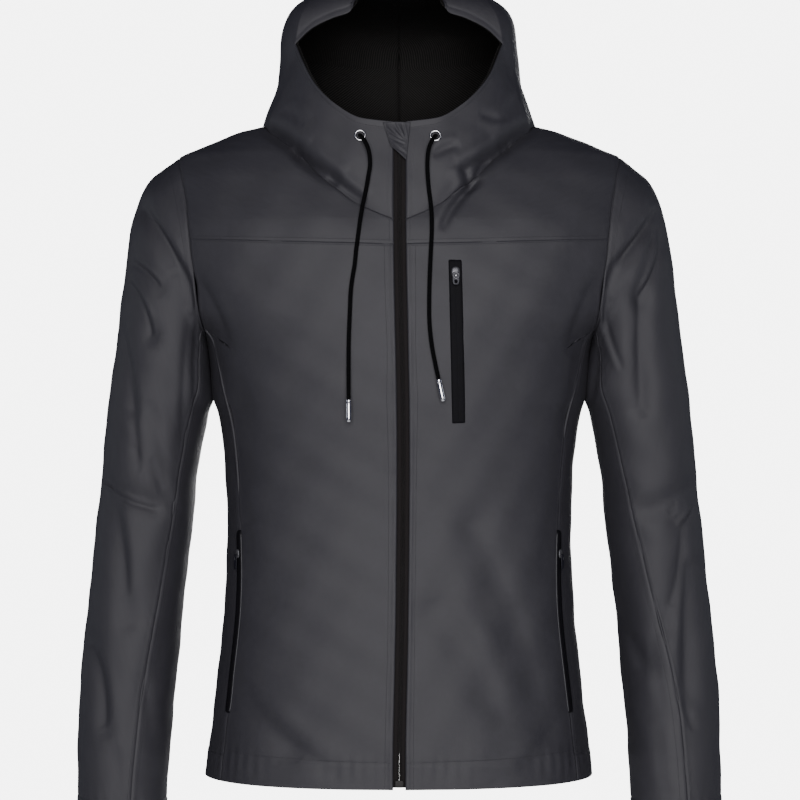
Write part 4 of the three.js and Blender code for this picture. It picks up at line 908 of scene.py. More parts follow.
def sleeve_piece(side, part):
    """One piece of a sleeve between its two seams; rings are spaced evenly down the arm."""
    sign = SIDES[side]
    wide, step = SLEEVE_GRIDS[part]
    places = np.linspace(0, RINGS[-1], 400)
    middle = smooth(np.stack([RINGS, (SLEEVE[:, 1] + SLEEVE[:, 3]) / 2], axis=1), places)
    down = (middle[0] - middle) / (middle[0] - middle[-1])
    ring = np.interp(stations(SLEEVE_LONG, step, "seam", "hem"), down, places)
    seam = {key: smooth(table, ring) for key, table in SLEEVE_SEAMS[side].items()}
    start, stop = (seam["front"], seam["back"]) if part == "under" else (seam["back"] - 360, seam["front"])
    turn = mixed(start[:, None], stop[:, None], stations(wide, step)[None])
    ring = ring[:, None] + 0 * turn
    points = sleeve_points(ring, turn)
    x, y, z = np.moveaxis(points, -1, 0)
    sin = np.sin(np.radians(turn))
    share = np.where(sin > 0, 1, BACK_SHARE) * np.abs(sin) * np.minimum(1, ring / 2)
    depth = share * folds(SLEEVE_FOLDS[side], x, z)
    ahead = np.clip((sin + 0.25) / 0.5, 0, 1) * np.minimum(1, ring)
    depth += ahead * creases(SLEEVE_CREASES[side], x, z)
    depth -= swelling(z) * np.clip(-np.cos(np.radians(turn)), 0, 1) ** 2
    edges = {"first": "seam", "last": "seam", "hem": "seam", "top": "hem"}
    return cloth(f"sleeve_{part}_{side}", points, depth + unevenness(x * sign, y, z), edges, sign, "sleeves")


for side in SIDES:
    for part in SLEEVE_GRIDS:
        sleeve_piece(side, part)

# %% [markdown]
# ## The hood
#
# Each half of the hood rises from the neckline. In front it ends at the rim of the face
# opening; further back it goes on over the head as a squared dome. Two grids share the
# line between them, and they part at the opening's corner, where the rim's upper half
# sags from the crown.

# %% Hood shape
RIM_LOWER = np.array((
    (6, -100, -6), (37, -99, -2.2), (62, -92, 11.6), (86, -77, 36.6), (97.3, -63, 57.7), (105.7, -44, 80)))
RIM_UPPER = np.array((
    (0, -38, 137), (44, -42, 130), (50, -45, 113), (67.4, -46, 106.3), (90, -45, 95), (105.7, -44, 80)))
CROWN = {"y": 38, "z": 80, "half": 121.5, "front": 95, "back": 144, "height": 67,
         "square_front": 3.2, "square_back": 2.4, "square_up": 3.2}
# column, tangent leaving the neckline, tangent arriving above
HOOD_RISE = np.array((
    (0, 0, -3, 30, 0, 5, 30), (3, 3, -10, 18, 2, 3, 22), (5, -4, -6, 24, -3, -2, 26),
    (6, -9, -2, 22, -4, -2, 28), (8, -4, 14, 14, 0, 4, 30), (10, 6, 34, -8, 1, 6, 42),
    (13, 0, 52, -30, 0, 6, 58)))


def along_rows(table, at, keys=None):
    """Smooth curve through each column of a table at once."""
    keys = np.arange(len(table)) if keys is None else keys
    return np.stack([smooth(np.stack([keys, values], axis=1), at) for values in table.T], axis=-1)


def dome(angle, tilt):
    """Squared dome: the level superellipse shrinks as cos^(2/3.2) of the tilt, z grows as sin^(2/3.2)."""
    sin, cos = np.sin(np.radians(angle)), np.cos(np.radians(angle))
    square = np.where(cos > 0, 2 / CROWN["square_front"], 2 / CROWN["square_back"])
    shrink = np.maximum(0, np.cos(np.radians(tilt))) ** (2 / CROWN["square_up"])
    depth = np.where(cos > 0, CROWN["front"], CROWN["back"])
    rise = np.sin(np.radians(tilt)) ** (2 / CROWN["square_up"])
    return np.stack([
        CROWN["half"] * shrink * powered(sin, square), CROWN["y"] - depth * shrink * powered(cos, square),
        CROWN["z"] + CROWN["height"] * rise + 0 * sin], axis=-1)


def dome_place(point):
    """Angle and tilt of the dome's point nearest to a point of the rim."""
    x, y, z = np.moveaxis(point, -1, 0)
    tilt = np.arcsin(np.maximum(0, (z - CROWN["z"]) / CROWN["height"]) ** (CROWN["square_up"] / 2))
    ratio = (x / CROWN["half"]) / ((CROWN["y"] - y) / CROWN["front"])
    return np.degrees(np.arctan(ratio ** (CROWN["square_front"] / 2))), np.degrees(tilt)


corner = RIM_LOWER[-1]
corner_angle = dome_place(corner)[0]
corner_pull = corner - dome(corner_angle, 0.0)


def crown(column, t):
    """From the rim, or the ring behind its corner (t 0), to the top (t 1): the dome plus a fading pull."""
    rim = along_rows(RIM_UPPER, np.minimum(column, HOOD_CORNER))
    angle, tilt = dome_place(rim)
    share = np.clip((column - HOOD_CORNER) / (HOOD_BACK - HOOD_CORNER), 0, 1)
    ahead = column < HOOD_CORNER
    pull = np.where(ahead[..., None], rim - dome(angle, tilt), corner_pull * ((1 - share) ** 3)[..., None])
    angle = np.where(ahead, angle, mixed(corner_angle, 180, share))
    tilt = np.where(ahead, tilt, 0)
    return dome(angle, mixed(tilt, 90, t)) + pull * ((1 - t) ** 3)[..., None]


def hood_side(sign, column, t):
    """Cubic from the neckline to the rim's lower half or to the crown's ring."""
    place = neckline(sign, column)
    start = bare_body(place[..., 0], place[..., 1])
    rim = along_rows(RIM_LOWER, np.minimum(column, HOOD_CORNER))
    end = np.where((column < HOOD_CORNER)[..., None], rim, crown(column, 0 * column))
    end[..., 0] += np.maximum(0, 1 - column) * sign * smooth(ZIP_MIDDLE, 0.0)
    rise = along_rows(HOOD_RISE[:, 1:], column, HOOD_RISE[:, 0])
    s, t = (1 - t)[..., None], t[..., None]
    return (s ** 3 * start + 3 * s * s * t * (start + rise[..., :3])
            + 3 * s * t * t * (end - rise[..., 3:]) + t ** 3 * end)


# %% Hood grids
def even_columns(start, stop, step, surface):
    """Columns between two, so placed that the surface's line has even steps."""
    fine = np.linspace(start, stop, 800)
    long = along(surface(fine))
    count = max(3, int(round(long[-1] / step)))
    return np.interp(np.linspace(0, long[-1], count + 1), long, fine)


# about how high a half's side is, and the column whose rise over the crown spaces the crown's rows
HOOD_SIDE_HIGH, CROWN_SAMPLE = 95, 9


def rounded_ring(side, top, side_corner, top_corner, reach=18, rounds=40, spread=6.0):
    """Eases the bend where side and crown meet: rows near it move to the mean of their neighbours."""
    both = np.concatenate([side[:, side_corner:], top[1:, top_corner:]])
    middle = len(side) - 1
    rows = np.exp(-((np.arange(len(both)) - middle) / spread) ** 2)
    columns = np.linalg.norm(both[middle] - both[middle, 0], axis=1)
    weight = 0.5 * rows[1:-1, None, None] * np.clip(columns / reach, 0, 1)[None, :, None]
    for _ in range(rounds):
        both[1:-1] += weight * ((both[:-2] + both[2:]) / 2 - both[1:-1])
    side[:, side_corner:] = both[:middle + 1]
    top[:, top_corner:] = both[middle:]


def hood_grids(sign, first_column, step):
    """The side's grid and the crown's, which share their columns behind the corner."""
    def ring(column):
        return 0.5 * (hood_side(sign, column, 0 * column + 0.5) + hood_side(sign, column, 0 * column + 1))
    ahead = even_columns(first_column, HOOD_CORNER, step, ring)
    behind = even_columns(HOOD_CORNER, HOOD_BACK, step, ring)
    columns = np.concatenate([ahead, behind[1:]])
    crown_ahead = ahead
    if first_column > 0:
        crown_ahead = even_columns(0, HOOD_CORNER, step, lambda column: crown(column, 0 * column))
    crown_columns = np.concatenate([crown_ahead, behind[1:]])
    fine = np.linspace(0, 1, 600)
    long = along(crown(0 * fine + CROWN_SAMPLE, fine))
    over = np.interp(np.linspace(0, long[-1], int(long[-1] / step)), long, fine)
    side = hood_side(sign, *np.meshgrid(columns, stations(HOOD_SIDE_HIGH, step, "seam", "rim")))
    top = crown(*np.meshgrid(crown_columns, over))
    rounded_ring(side, top, len(ahead) - 1, len(crown_ahead) - 1)
    return side, top, columns


FAR = 99.0


def rim_distance(away, x, corner_column):
    """Distance to a rim that ends at a column: beyond it, the distance to the rim's end."""
    past = np.maximum(x - x[:, corner_column:corner_column + 1], 0)
    past[:, :corner_column] = 0
    return np.hypot(away, past)


def hood_borders(lower, upper):
    """Distance of every point of the two grids to the zip's edge and the rim, and along the rim."""
    borders, x, _ = border_distances(lower)
    crown_borders, crown_x, _ = border_distances(upper)
    side_corner, crown_corner = (
        int(np.argmin(np.linalg.norm(row - corner, axis=1))) for row in (lower[-1], upper[0]))
    rims = (rim_distance(borders["top"][0], x, side_corner),
            rim_distance(crown_borders["hem"][0], crown_x, crown_corner))

    def whole(low, high=None):
        high = np.full(upper.shape[:2], FAR) if high is None else high
        return np.concatenate([low.reshape(-1), high.reshape(-1)])
    return {"zip": whole(borders["first"][0]), "rim": np.minimum(whole(*rims), FAR),
            "along": whole(x, crown_x)}


def shared_normals(points, faces):
    """Normals of two grids in one mesh, added where their points lie together."""
    keys = np.round(points * 200).astype(np.int64)
    shared = np.unique(keys, axis=0, return_inverse=True)[1].reshape(-1)
    total = np.zeros((shared.max() + 1, 3))
    np.add.at(total, shared, face_normals_at_points(points, faces))
    around = unit(total)[shared]
    around[np.abs(points[:, 0]) < 0.02, 0] = 0
    return unit(around)


# %% Hood pieces
HOOD_LINING = {"thick": 0.8, "set_in": 3.4, "step": 4.5, "first_column": 1}
HOOD_STEP = 2.4
# the neck's creases end at this depth behind the shoulder line
NECK_CREASE_END = 20


def hood_half(side, lining):
    """Hood half or its lining: both grids in one mesh, moved along shared normals, walls added."""
    sign = SIDES[side]
    first, step = (HOOD_LINING["first_column"], HOOD_LINING["step"]) if lining else (0, HOOD_STEP)
    lower, upper, columns = hood_grids(sign, first, step)
    count = lower.shape[0] * lower.shape[1]
    points = np.concatenate([lower.reshape(-1, 3), upper.reshape(-1, 3)])
    faces = np.concatenate([grid_faces(*lower.shape[:2]), grid_faces(*upper.shape[:2]) + count])
    around = shared_normals(points, faces)
    x, y, z = points.T
    push = creases(NECK_CREASES[side], x, z) * (y < NECK_CREASE_END)
    lift = -unevenness(x * sign, y, z)
    if lining:
        lift = lift - HOOD_LINING["set_in"]
    else:
        away = hood_borders(lower, upper)
        away["middle"] = np.where((y > 0) | (z > 100), np.abs(x), FAR)
        for kind, border, along_edge in (("rim", "rim", away["along"]), ("zip", "zip", z),
                                         ("seam", "middle", y + z)):
            lift = lift + edge_relief(kind, away[border], along_edge)
    final = points + lift[:, None] * around + np.multiply.outer(push, NECK_PUSH)
    final[:, 0] = np.maximum(final[:, 0], 0)
    final = final * [sign, 1, 1]
    around = around * [sign, 1, 1]
    flat = [np.stack(border_distances(grid)[1:], axis=-1).reshape(-1, 2) for grid in (lower, upper)]
    uv = np.concatenate([flat[0], flat[1] + [0, HOOD_SIDE_HIGH]]) * MM
    name = f"hood_lining_{side}" if lining else f"hood_{side}"
    piece = new_piece(f"cloth_{name}", final, outward(faces, sign), "lining" if lining else "shell",
                      uv, replaces=[name], merge=True)
    add_wall(piece, HOOD_LINING["thick"] if lining else CLOTH)
    if not lining:
        low, low_normal = (grid[:count].reshape(lower.shape) for grid in (final, around))
        high, high_normal = (grid[count:].reshape(upper.shape) for grid in (final, around))
        ahead = columns <= HOOD_CORNER
        SEWN["hood"].append((low[-7, ahead], low_normal[-7, ahead]))
        SEWN["hood"].append((high[:, -3], high_normal[:, -3]))
        SEWN["hood"].append((low[:, -3], low_normal[:, -3]))
    return piece


for side in SIDES:
    hood_half(side, lining=False)
    hood_half(side, lining=True)

# %% [markdown]
# ## Seam allowances
#
# Inside every seam the two edges of cloth are turned back and lie against each other, so
# no light comes through. A thin roll of the same cloth just under each seam does that.

# %% Rolls under the seams
ROLL_STEP, ROLL_SIDES = 2.5, 8


def roll(name, points, radius):
    """Tube through points, which takes part in the neck's creases as the cloth does."""
    x, y, z = points.T
    push = np.where(x >= 0, creases(NECK_CREASES["left"], np.abs(x), z),
                    creases(NECK_CREASES["right"], np.abs(x), z))
    points = points + np.multiply.outer(push * (y < NECK_CREASE_END), NECK_PUSH)
    made, faces, uv = tube(smooth_path(points, ROLL_STEP), radius, around=ROLL_SIDES)
    return new_piece(f"roll_{name}", made, faces[:, ::-1], "shell", uv, merge=True)


def seam_roll(name, places, radius=1.4, under=1.9):
    """Tube along a line of (angle, height) places on the body, set back along the body's normal."""
    angle, z = places.T
    across = bare_body(angle + 0.6, z) - bare_body(angle - 0.6, z)
    up = bare_body(angle, z + 0.6) - bare_body(angle, z - 0.6)
    return roll(name, bare_body(angle, z) - under * unit(np.cross(across, up)), radius)


t = np.linspace(0, 1, 60)
for side, sign in SIDES.items():
    loop = armhole(np.linspace(4, 356, 120))
    points = bare_body(loop[:, 0], loop[:, 1])
    inwards = unit((points.mean(axis=0) - points) * [0, 1, 1])
    roll(f"armhole_{side}", (points + [0.3, 0, 0] + 2.0 * inwards) * [sign, 1, 1], 1.5)
    for name, places in {
            "neck": neckline(sign, HOOD_BACK * t), "side_front": side_front(t), "side_back": side_back(t),
            "yoke": line((float(zip_edge(sign, YOKE_AT_ZIP)), YOKE_AT_ZIP), armhole(YOKE_TURN))(t),
            "shoulder": shoulder(0.94 * t)}.items():
        seam_roll(f"{name}_{side}", places * [sign, 1])
    # behind the neck the hood hangs over this seam, so its roll lies right in the seam
    behind = neckline(sign, mixed(NECK_SIDE, HOOD_BACK, t))
    seam_roll(f"neck_behind_{side}", behind * [sign, 1], 1.7, 0.7)
    for key, table in SLEEVE_SEAMS[side].items():
        ring = RINGS[-1] * (0.02 + 0.975 * t)
        turn = smooth(table, ring)
        points = sleeve_points(ring, turn)
        points = points + 1.9 * unit(sleeve_points(ring, turn + 180) - points)
        roll(f"sleeve_{key}_{side}", points * [sign, 1, 1], 1.4)
# over the crown in the middle: from the rim to the top, then down the back to the neck
last = np.full(60, float(HOOD_BACK))
crown_line = np.concatenate([crown(0 * t, t)[:-1], crown(last, t)[::-1], hood_side(1, last, t)[-2::-1]])[3:-3]
outwards = unit(crown_line - [0, CROWN["y"], CROWN["z"] - 40])
roll("hood_middle", crown_line - 2.2 * outwards, 1.5)
print("seam rolls made")

# %% [markdown]
# ## Stitches
#
# A sewn line is a row of short raised threads. One stitch is a small five-sided spindle,
# and a copy lies every 3 mm along each line that the panels noted while they were made.

# %% Copies along lines
def copies(shape, faces, centres, frames):
    """One mesh of many copies: each copy's points are the shape's times its three directions."""
    points = centres[:, None] + np.einsum("pk,nkj->npj", shape, frames)
    numbers = faces[None] + (np.arange(len(centres)) * len(shape))[:, None, None]
    return points.reshape(-1, 3), numbers.reshape(-1, faces.shape[1])


def spindle(long, wide, high, around=5, rings=4):
    """Rounded bar along its first direction: radius = sqrt(1 - (0.94 s)^4), and 0 at its two ends."""
    s = np.linspace(-1, 1, rings)
    radius = np.concatenate([[0], np.sqrt(np.maximum(0, 1 - (0.94 * s) ** 4)), [0]])
    s = np.concatenate([[-1], s, [1]])
    turn = np.linspace(0, 2 * np.pi, around, endpoint=False)
    x = (s * long / 2)[:, None] + 0 * turn
    y = radius[:, None] * np.cos(turn) * wide / 2
    z = radius[:, None] * np.sin(turn) * high / 2
    return np.stack([x, y, z], axis=-1).reshape(-1, 3), grid_faces(rings + 2, around, around=True)


def stitch_frames(line, normals, pitch):
    """Even places along a line with their directions: forward, across and out."""
    chord = along(line)
    at = np.arange(pitch, chord[-1] - pitch, pitch)

    def read(values, places):
        return np.stack([np.interp(places, chord, row) for row in values.T], axis=1)
    centre = read(line, at)
    forward = unit(read(line, at + 0.4 * pitch) - centre)
    out = unit(read(normals, at))
    out = unit(out - (out * forward).sum(axis=1, keepdims=True) * forward)
    return centre, np.stack([forward, np.cross(out, forward), out], axis=1)


STITCH = {"long": 2.2, "wide": 0.5, "high": 0.42}
STITCH_LIFT = 0.12


def sew(name, lines, pitch=3.1):
    """All stitches of a group of lines as one mesh."""
    shape, faces = spindle(**STITCH)
    found = [stitch_frames(*line, pitch) for line in lines if length_of(line[0]) > 4 * pitch]
    centres = np.concatenate([centre for centre, _ in found])
    frames = np.concatenate([turned for _, turned in found])
    centres = centres + STITCH_LIFT * frames[:, 2]
    points, numbers = copies(shape, faces, centres, frames)
    new_piece(f"stitches_{name}", points, numbers, "shell", points[:, :2] * MM, merge=True, look="thread")
    print(f"{name}: {len(centres)} stitches")


for name, lines in SEWN.items():
    sew(name, lines)

# %% [markdown]
# ## The front zip
#
# Behind the gap between the fronts lie two woven tapes, and between them the coil's
# teeth. Every tooth is a short rounded bar, placed left and right in turn.

# %% Zip line
ZIP = {"tape_wide": 11, "tape_thick": 0.9, "behind": 1.5, "bottom": -668, "top": -9, "tape_gap": 0.2}
COIL = {"pitch": 1.45, "thick": 1.1, "low": -660, "high": -27.5, "swing": 0.75, "long": 2.9, "wide": 0.66}


def zip_line(z):
    """Middle of the zip at each height, and its forward direction, from the body's and the hood's front."""
    t = np.linspace(0, 1, 60)
    on_body = np.linspace(ZIP["bottom"] - 4, NECK_FRONT, 200)
    known = np.concatenate([bare_body(0 * on_body, on_body), hood_side(1, 0 * t, t)[1:]])
    y = np.interp(z, known[:, 2], known[:, 1])
    slope = np.gradient(y, z)
    forward = unit(np.stack([0 * z, -np.ones_like(z), slope], axis=1))
    return np.stack([smooth(ZIP_MIDDLE, z), y, z], axis=1), forward


def zip_grid(x, z, off):
    """Surface along the zip: x across, and `off` in front of its line for each x."""
    middle, forward = zip_line(z)
    points = middle[:, None] + np.asarray(off)[None, :, None] * forward[:, None]
    points[..., 0] += np.asarray(x)[None]
    return points


tape_face = -CLOTH - ZIP["behind"]
heights = np.linspace(ZIP["bottom"], ZIP["top"], 300)
for side, sign in SIDES.items():
    x = sign * np.linspace(ZIP["tape_gap"], ZIP["tape_wide"], 14)
    edge = 0.25 * np.exp(-((np.abs(x) - 3.6) / 0.5) ** 2)
    points = zip_grid(x, heights, tape_face + edge)
    _, across, up = border_distances(points)
    faces = grid_faces(len(heights), len(x))
    tape = new_piece(f"tape_{side}", points, outward(faces, sign), "zip_tape",
                     np.stack([across, up], axis=-1) * MM, replaces=[f"zip_tape_{side}"])
    add_wall(tape, ZIP["tape_thick"])

# %% Coil teeth
places = np.arange(COIL["low"], COIL["high"], COIL["pitch"] / 2)
middle, forward = zip_line(places)
swing = np.where(np.arange(len(places)) % 2 == 0, 1.0, -1.0)
centre = middle + (tape_face + 0.3 + COIL["thick"] / 2) * forward
centre[:, 0] += COIL["swing"] * swing
across = np.tile([1.0, 0.0, 0.0], (len(places), 1))
frames = np.stack([across, np.cross(forward, across), forward], axis=1)
shape, faces = spindle(COIL["long"], COIL["wide"], COIL["thick"], around=8, rings=6)
points, numbers = copies(shape, faces, centre, frames)
new_piece("coil_teeth", points, numbers, "zip_coil", replaces=["zip_coil"], merge=True)
print("teeth:", len(places))

# %% [markdown]
# ## Small hardware
#
# The metal pieces are placed by their CAD nodes: the middle and the three directions of a
# node come from the spread of its own points. A slider is a rounded block, a tab a flat
# plate with a round hole, and an eyelet a pressed ring.

# %% Places of the hardware
def seat_of(name):
    """Middle, directions from longest to shortest, and half sizes of a node, in millimetres."""
    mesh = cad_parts[name].data
    points = np.empty(len(mesh.vertices) * 3)
    mesh.vertices.foreach_get("co", points)
    points = np.unique(points.reshape(-1, 3).round(7), axis=0) / MM
    _, _, directions = np.linalg.svd(points - points.mean(axis=0), full_matrices=False)
    spread = (points - points.mean(axis=0)) @ directions.T
    low, high = spread.min(axis=0), spread.max(axis=0)
    order = np.argsort(low - high)
    middle = points.mean(axis=0) + ((low + high) / 2) @ directions
    return middle, directions[order], ((high - low) / 2)[order]


def facing(directions, half):
    """Directions of a plate as across, up and out of the cloth, with half sizes to match."""
    up = directions[0] * np.sign(directions[0][2])
    out = directions[2]
    out = out * (1 if out[1] < 0 else -1)
    return np.stack([np.cross(up, out), up, out]), half[[1, 0, 2]]


def rounded_block(name, node_name, slot, square):
    """Superellipsoid that fills a node's box: each direction is cos or sin to the power 2 / square."""
    middle, directions, half = seat_of(node_name)
    axes, sizes = facing(directions, half)
    turn = np.linspace(-np.pi, np.pi, 40, endpoint=False)
    tilt = np.linspace(-np.pi / 2, np.pi / 2, 18)
    level, ring = powered(np.cos(tilt), 2 / square), powered(np.sin(tilt), 2 / square)
    x = level[:, None] * powered(np.cos(turn), 2 / square) * sizes[0]
    y = level[:, None] * powered(np.sin(turn), 2 / square) * sizes[1]
    z = ring[:, None] * sizes[2] + 0 * x
    points = middle + np.stack([x, y, z], axis=-1) @ axes
    new_piece(name, points, grid_faces(len(tilt), len(turn), around=True), slot,
              replaces=[node_name], merge=True)


def circle(sides):
    """Even turns round a circle, without the last one that would meet the first."""
    return np.linspace(0, 2 * np.pi, sides, endpoint=False)


def holed_plate(name, node_name, hole, hole_at):
    """Pull tab: a plate whose section runs round between its outline and its hole."""
    middle, directions, half = seat_of(node_name)
    axes, sizes = facing(directions, half)
    turn, loop = circle(48), circle(16)
    outline = np.stack([powered(np.cos(turn), 0.5), powered(np.sin(turn), 0.62)], axis=1) * sizes[:2]
    inner = np.stack([np.cos(turn) * hole[0], np.sin(turn) * hole[1] + hole_at], axis=1)
    # around the section: share 1 at the outline, 0 at the hole, and the height rounded
    share = 0.5 + 0.5 * powered(np.cos(loop), 0.6)
    high = powered(np.sin(loop), 0.45) * sizes[2]
    flat = share[:, None, None] * outline + (1 - share)[:, None, None] * inner
    points = np.concatenate([flat, np.broadcast_to(high[:, None, None], (*flat.shape[:2], 1))], axis=2)
    points = middle + points @ axes
    faces = grid_faces(len(loop), len(turn), around=True)
    here, after = np.arange(len(turn)), np.roll(np.arange(len(turn)), -1)
    last = (len(loop) - 1) * len(turn)
    wrap = np.stack([last + here, last + after, after, here], axis=1)
    new_piece(name, points, np.concatenate([faces, wrap])[:, ::-1], "puller", body=node_name,
              replaces=[node_name], look="tab")
    return middle, axes, sizes


def pressed_ring(name, centre, out, radius, half_wide, half_high, slot, sides, around, **settings):
    """Ring: an ellipse at a radius turned round an axis."""
    turn = circle(sides)
    section = [(radius + half_wide * np.cos(a), half_high * np.sin(a)) for a in turn]
    rings = lathe(section + section[:1], centre, out, around=around)
    new_piece(name, rings, grid_faces(len(section) + 1, around, around=True)[:, ::-1], slot,
              merge=True, **settings)


# %% Sliders, tabs and eyelets
POCKET_SLIDER_SQUARE = 2.6
RIVET = [(0, 0.9), (0.5, 0.85), (0.9, 0.6), (1.1, 0.2), (1.1, -0.4), (0, -0.4)]
RIVET_SIDES = 24
EYELET = {"radius": 4.95, "half_wide": 1.05}

rounded_block("slider_chest", "chest_slider", "puller", POCKET_SLIDER_SQUARE)
middle, axes, sizes = holed_plate("tab_chest", "chest_tab", (1.2, 1.5), -3.4)
disc = middle + 2.6 * axes[1] + sizes[2] * axes[2]
pressed_ring("ring_chest", disc, axes[2], 2.9, 0.75, 0.75, "puller", 12, 36, body="chest_tab", look="puller")
new_piece("rivet_chest", lathe(RIVET, disc, axes[2], around=RIVET_SIDES),
          grid_faces(len(RIVET), RIVET_SIDES, around=True), "puller",
          body="chest_tab", merge=True, look="cord_tip")
for side in SIDES:
    rounded_block(f"slider_hand_{side}", f"hand_slider_{side}", "puller", POCKET_SLIDER_SQUARE)
    holed_plate(f"tab_hand_{side}", f"hand_tab_{side}", (0.9, 2.4), 3.6)
    middle, directions, half = seat_of(f"eyelet_{side}")
    out = directions[2] * (1 if directions[2][1] < 0 else -1)
    pressed_ring(f"ring_{side}", middle, out, EYELET["radius"], EYELET["half_wide"], half[2], "eyelet",
                 14, 48, replaces=[f"eyelet_{side}"])
rounded_block("box_zip", "zip_box", "zip_coil", square=5)
rounded_block("slider_front", "zip_slider", "puller", square=3)
print("hardware placed")

# %% [markdown]
# ## Pocket zips
#
# A coated zip has two smooth lips that meet over the hidden teeth. Each strip is a grid
# laid on the body's surface: a low rounded section with a fine groove down its middle.

# %% Pocket strips
CHEST_ZIP = {"top": -144, "bottom": -308, "top_x": 55.5, "bottom_x": 59.3, "half": 6.6, "thick": 1.4}
HAND_ZIP = {"top": -416, "bottom": -602, "half": 3.5, "thick": 1.2}


def body_surface(side, angle, z):
    """Body point with its large folds, and its outward normal, as the solids have them."""
    def at(a, h):
        points = bare_body(a, h)
        share = np.abs(powered(np.cos(np.radians(a)), 2 / SQUARENESS))
        deep = share * folds(BODY_FOLDS[side], np.abs(points[..., 0]), points[..., 2])
        across = bare_body(a + 0.6, h) - bare_body(a - 0.6, h)
        up = bare_body(a, h + 0.6) - bare_body(a, h - 0.6)
        return points - deep[..., None] * unit(np.cross(across, up))
    across, up = at(angle + 0.6, z) - at(angle - 0.6, z), at(angle, z + 0.6) - at(angle, z - 0.6)
    return at(angle, z), unit(np.cross(across, up))


# how far a strip's edges sink below the cloth's face, so that no gap shows under them
STRIP_SINK = 1.2


def strip(name, side, z, left, right, thick, node_name):
    """Strip between two angles at each height: low at the edges and grooved in the middle."""
    sign = SIDES[side]
    s = np.linspace(-1, 1, 25)
    section = thick * (1 - np.abs(s) ** 8) - 0.2 * np.exp(-(s / 0.07) ** 2)
    angle = mixed(left[:, None], right[:, None], (s[None] + 1) / 2)
    points, normals = body_surface(side, angle, z[:, None] + 0 * angle)
    rows = np.arange(len(z))
    ends = np.minimum(1, np.minimum(rows, rows[::-1]) / 2)
    off = SURFACE_GAP - STRIP_SINK + (section[None] + STRIP_SINK) * ends[:, None] ** 0.5
    points = points + off[..., None] * normals
    points[..., 0] *= sign
    _, across, up = border_distances(points)
    new_piece(name, points, outward(grid_faces(len(z), len(s)), sign), "pocket_zip",
              np.stack([across, up], axis=-1) * MM, replaces=[node_name])


heights = np.linspace(CHEST_ZIP["bottom"], CHEST_ZIP["top"], 110)
chest_x = mixed(CHEST_ZIP["bottom_x"], CHEST_ZIP["top_x"], np.linspace(0, 1, len(heights)))
strip("strip_chest", "left", heights, angle_at(chest_x - CHEST_ZIP["half"], heights),
      angle_at(chest_x + CHEST_ZIP["half"], heights), CHEST_ZIP["thick"], "chest_zip")
heights = np.linspace(HAND_ZIP["bottom"], HAND_ZIP["top"], 130)
seam = smooth(SIDE_SEAM, heights)
per_degree = np.linalg.norm(bare_body(seam + 1, heights) - bare_body(seam, heights), axis=1)
for side in SIDES:
    strip(f"strip_hand_{side}", side, heights, seam - HAND_ZIP["half"] / per_degree,
          seam + HAND_ZIP["half"] / per_degree, HAND_ZIP["thick"], f"hand_zip_{side}")

# %% Piping round the hand pockets
# The piping's pale colour is a painted highlight: it stands for the light caught along the pockets' edges.
PIPING = {"radius": 0.42, "lift": 0.75, "outside": 0.4, "step": 1.6}


def piping(name, side, z, middle, half):
    """Thin tube round a strip, up one edge and down the other; its half width is sqrt(1 - s^40)."""
    shape = np.sqrt(np.clip(1 - np.linspace(-1, 1, len(z)) ** 40, 0, 1))
    reach = (half + PIPING["outside"]) / per_degree * shape
    around = np.concatenate([middle - reach, (middle + reach)[::-1]])
    points, normals = body_surface(side, around, np.concatenate([z, z[::-1]]))
    points = (points + PIPING["lift"] * normals) * [SIDES[side], 1, 1]
    made, faces, uv = tube(smooth_path(points[2:-2], PIPING["step"]), PIPING["radius"], around=8)
    new_piece(name, made, faces[:, ::-1], "shell", uv, merge=True, look="piping")


for side in SIDES:
    piping(f"piping_hand_{side}", side, heights, seam, HAND_ZIP["half"])

# %% [markdown]
# ## The chin flap
#
# A small flap covers the zip's top, so that the slider doesn't touch the chin. It is a
# four-cornered patch that bulges over the slider, with soft slanted creases and a stitched
# lower edge.

# %% Chin flap
FLAP = {"top_left": (-15.9, -7.4), "top_right": (11.5, -7.4), "low_left": (-8, -32),
        "low_right": (7.5, -45.5), "off": 1, "thick": 1.2, "bulge": 2.2, "columns": 40, "rows": 44}


FLAP_CREASES = (
    (-14, -10, 6, -27, -2, 1.1, 1.5, 0.5), (-5, -8, 6, -25, -1, 1, 1.3, 0.5),
    (3, -8, 7, -25, 0, 0.8, 1.1, 0.5), (-10, -21, 6, -30, -1, 0.9, 1.3, 0.5),
    (-7, -30, 6, -38, -1, 0.7, 1.2, 0.5))


def flap_points(u, v):
    """Corners blended, laid in front of the zip's line, and raised by a half sine across."""
    low_left, low_right, top_left, top_right = (
        np.array(FLAP[key], float) for key in ("low_left", "low_right", "top_left", "top_right"))
    place = mixed(mixed(low_left, low_right, u[..., None]), mixed(top_left, top_right, u[..., None]),
                  v[..., None])
    middle, forward = zip_line(np.linspace(ZIP["bottom"], ZIP["top"], 1200))
    y = np.interp(place[..., 1], middle[:, 2], middle[:, 1])
    lean = np.interp(place[..., 1], middle[:, 2], forward[:, 2])
    ahead = np.interp(place[..., 1], middle[:, 2], forward[:, 1])
    crease = -creases(FLAP_CREASES, place[..., 0], place[..., 1]) - 0.35 * np.exp(-((v - 0.12) / 0.05) ** 2)
    off = FLAP["off"] + FLAP["thick"] + FLAP["bulge"] * np.sin(np.pi * u) + crease
    return np.stack([place[..., 0], y + off * ahead, place[..., 1] + off * lean], axis=-1)


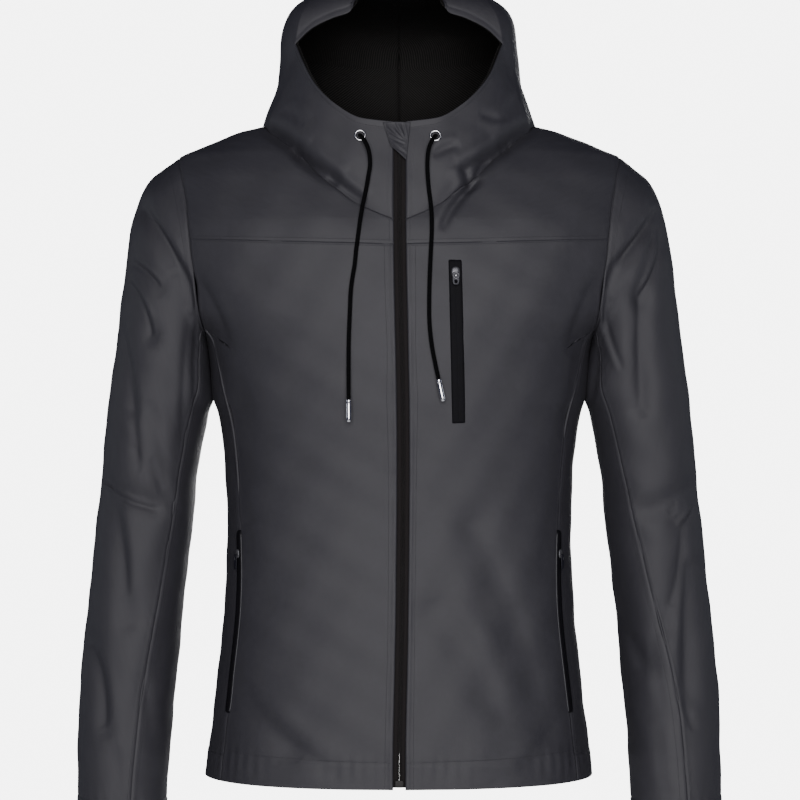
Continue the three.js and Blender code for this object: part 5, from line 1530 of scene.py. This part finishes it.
points = flap_points(*np.meshgrid(np.linspace(0, 1, FLAP["columns"]), np.linspace(0, 1, FLAP["rows"])))
_, across, up = border_distances(points)
faces = grid_faces(FLAP["rows"], FLAP["columns"])
uv = np.stack([across, up], axis=-1) * MM
flap = new_piece("flap", points, faces, "shell", uv, replaces=["zip_garage"])
add_wall(flap, FLAP["thick"])
# the flap is a slanted patch, so it fills three quarters of the oblong it is cut from
normals = face_normals_at_points(points.reshape(-1, 3), faces).reshape(points.shape)
sew("flap", [(points[5], normals[5]), (points[:, 3], normals[:, 3])], pitch=2.6)

# %% [markdown]
# ## Floor and light
#
# The photo is a cut-out on white with a soft light from the front, so surfaces that turn
# away go nearly black. A broad lamp near the camera does that. The floor lies where a
# wearer's feet would be, well below the picture.

# %% Floor, lamps and background
FLOOR = {"z": -1.45, "half": 2.6}
floor_mesh = bpy.data.meshes.new("floor")
corners = [(x * FLOOR["half"], y * FLOOR["half"], FLOOR["z"])
           for x, y in ((-1, -1), (1, -1), (1, 1), (-1, 1))]
floor_mesh.from_pydata(corners, [], [(0, 1, 2, 3)])
floor = bpy.data.objects.new("floor", floor_mesh)
bpy.context.scene.collection.objects.link(floor)
pale = bpy.data.materials.new("pale floor")
pale.use_nodes = True
pale.node_tree.nodes["Principled BSDF"].inputs["Base Color"].default_value = (0.8, 0.8, 0.8, 1)
pale.node_tree.nodes["Principled BSDF"].inputs["Roughness"].default_value = 0.9
floor_mesh.materials.append(pale)

# place, size in metres, power in watts and tint; all aim at the jacket's middle
AIM = np.array((0, 0, -0.3))
LAMPS = {
    "front": ((0.02, -2.7, 0.12), 1.8, 77, (1, 0.985, 0.98)),
    "behind": ((0.4, 2.7, 0.15), 1.5, 60, (1, 1, 1)),
    "side left": ((2.6, 0.7, 0.1), 1.2, 7, (0.9, 0.94, 1)),
    "side right": ((-2.6, 0.7, 0.1), 1.2, 7, (0.9, 0.94, 1)),
}
for name, (place, size, watts, tint) in LAMPS.items():
    data = bpy.data.lights.new(name, "AREA")
    data.size, data.energy, data.color = size, watts, tint
    light = bpy.data.objects.new(f"lamp_{name}", data)
    light.location = place
    x, y, z = AIM - np.array(place)
    light.rotation_euler = (float(np.arctan2(np.hypot(x, y), -z)), 0, float(np.arctan2(-x, y)))
    bpy.context.scene.collection.objects.link(light)

WORLD_LIGHT, WORLD_SEEN = (0.034, 0.036, 0.062), (6.0, 6.0, 6.0)
world = bpy.data.worlds.new("studio")
bpy.context.scene.world = world
world.use_nodes = True
tree = world.node_tree
background = tree.nodes["Background"]
seen = node(tree, "ShaderNodeLightPath").outputs["Is Camera Ray"]
tone = node(tree, "ShaderNodeMix", [(0, seen)], data_type="RGBA")
tone.inputs[6].default_value = (*WORLD_LIGHT, 1)
tone.inputs[7].default_value = (*WORLD_SEEN, 1)
tree.links.new(tone.outputs[2], background.inputs["Color"])
background.inputs["Strength"].default_value = 1
print("lamps:", ", ".join(LAMPS))
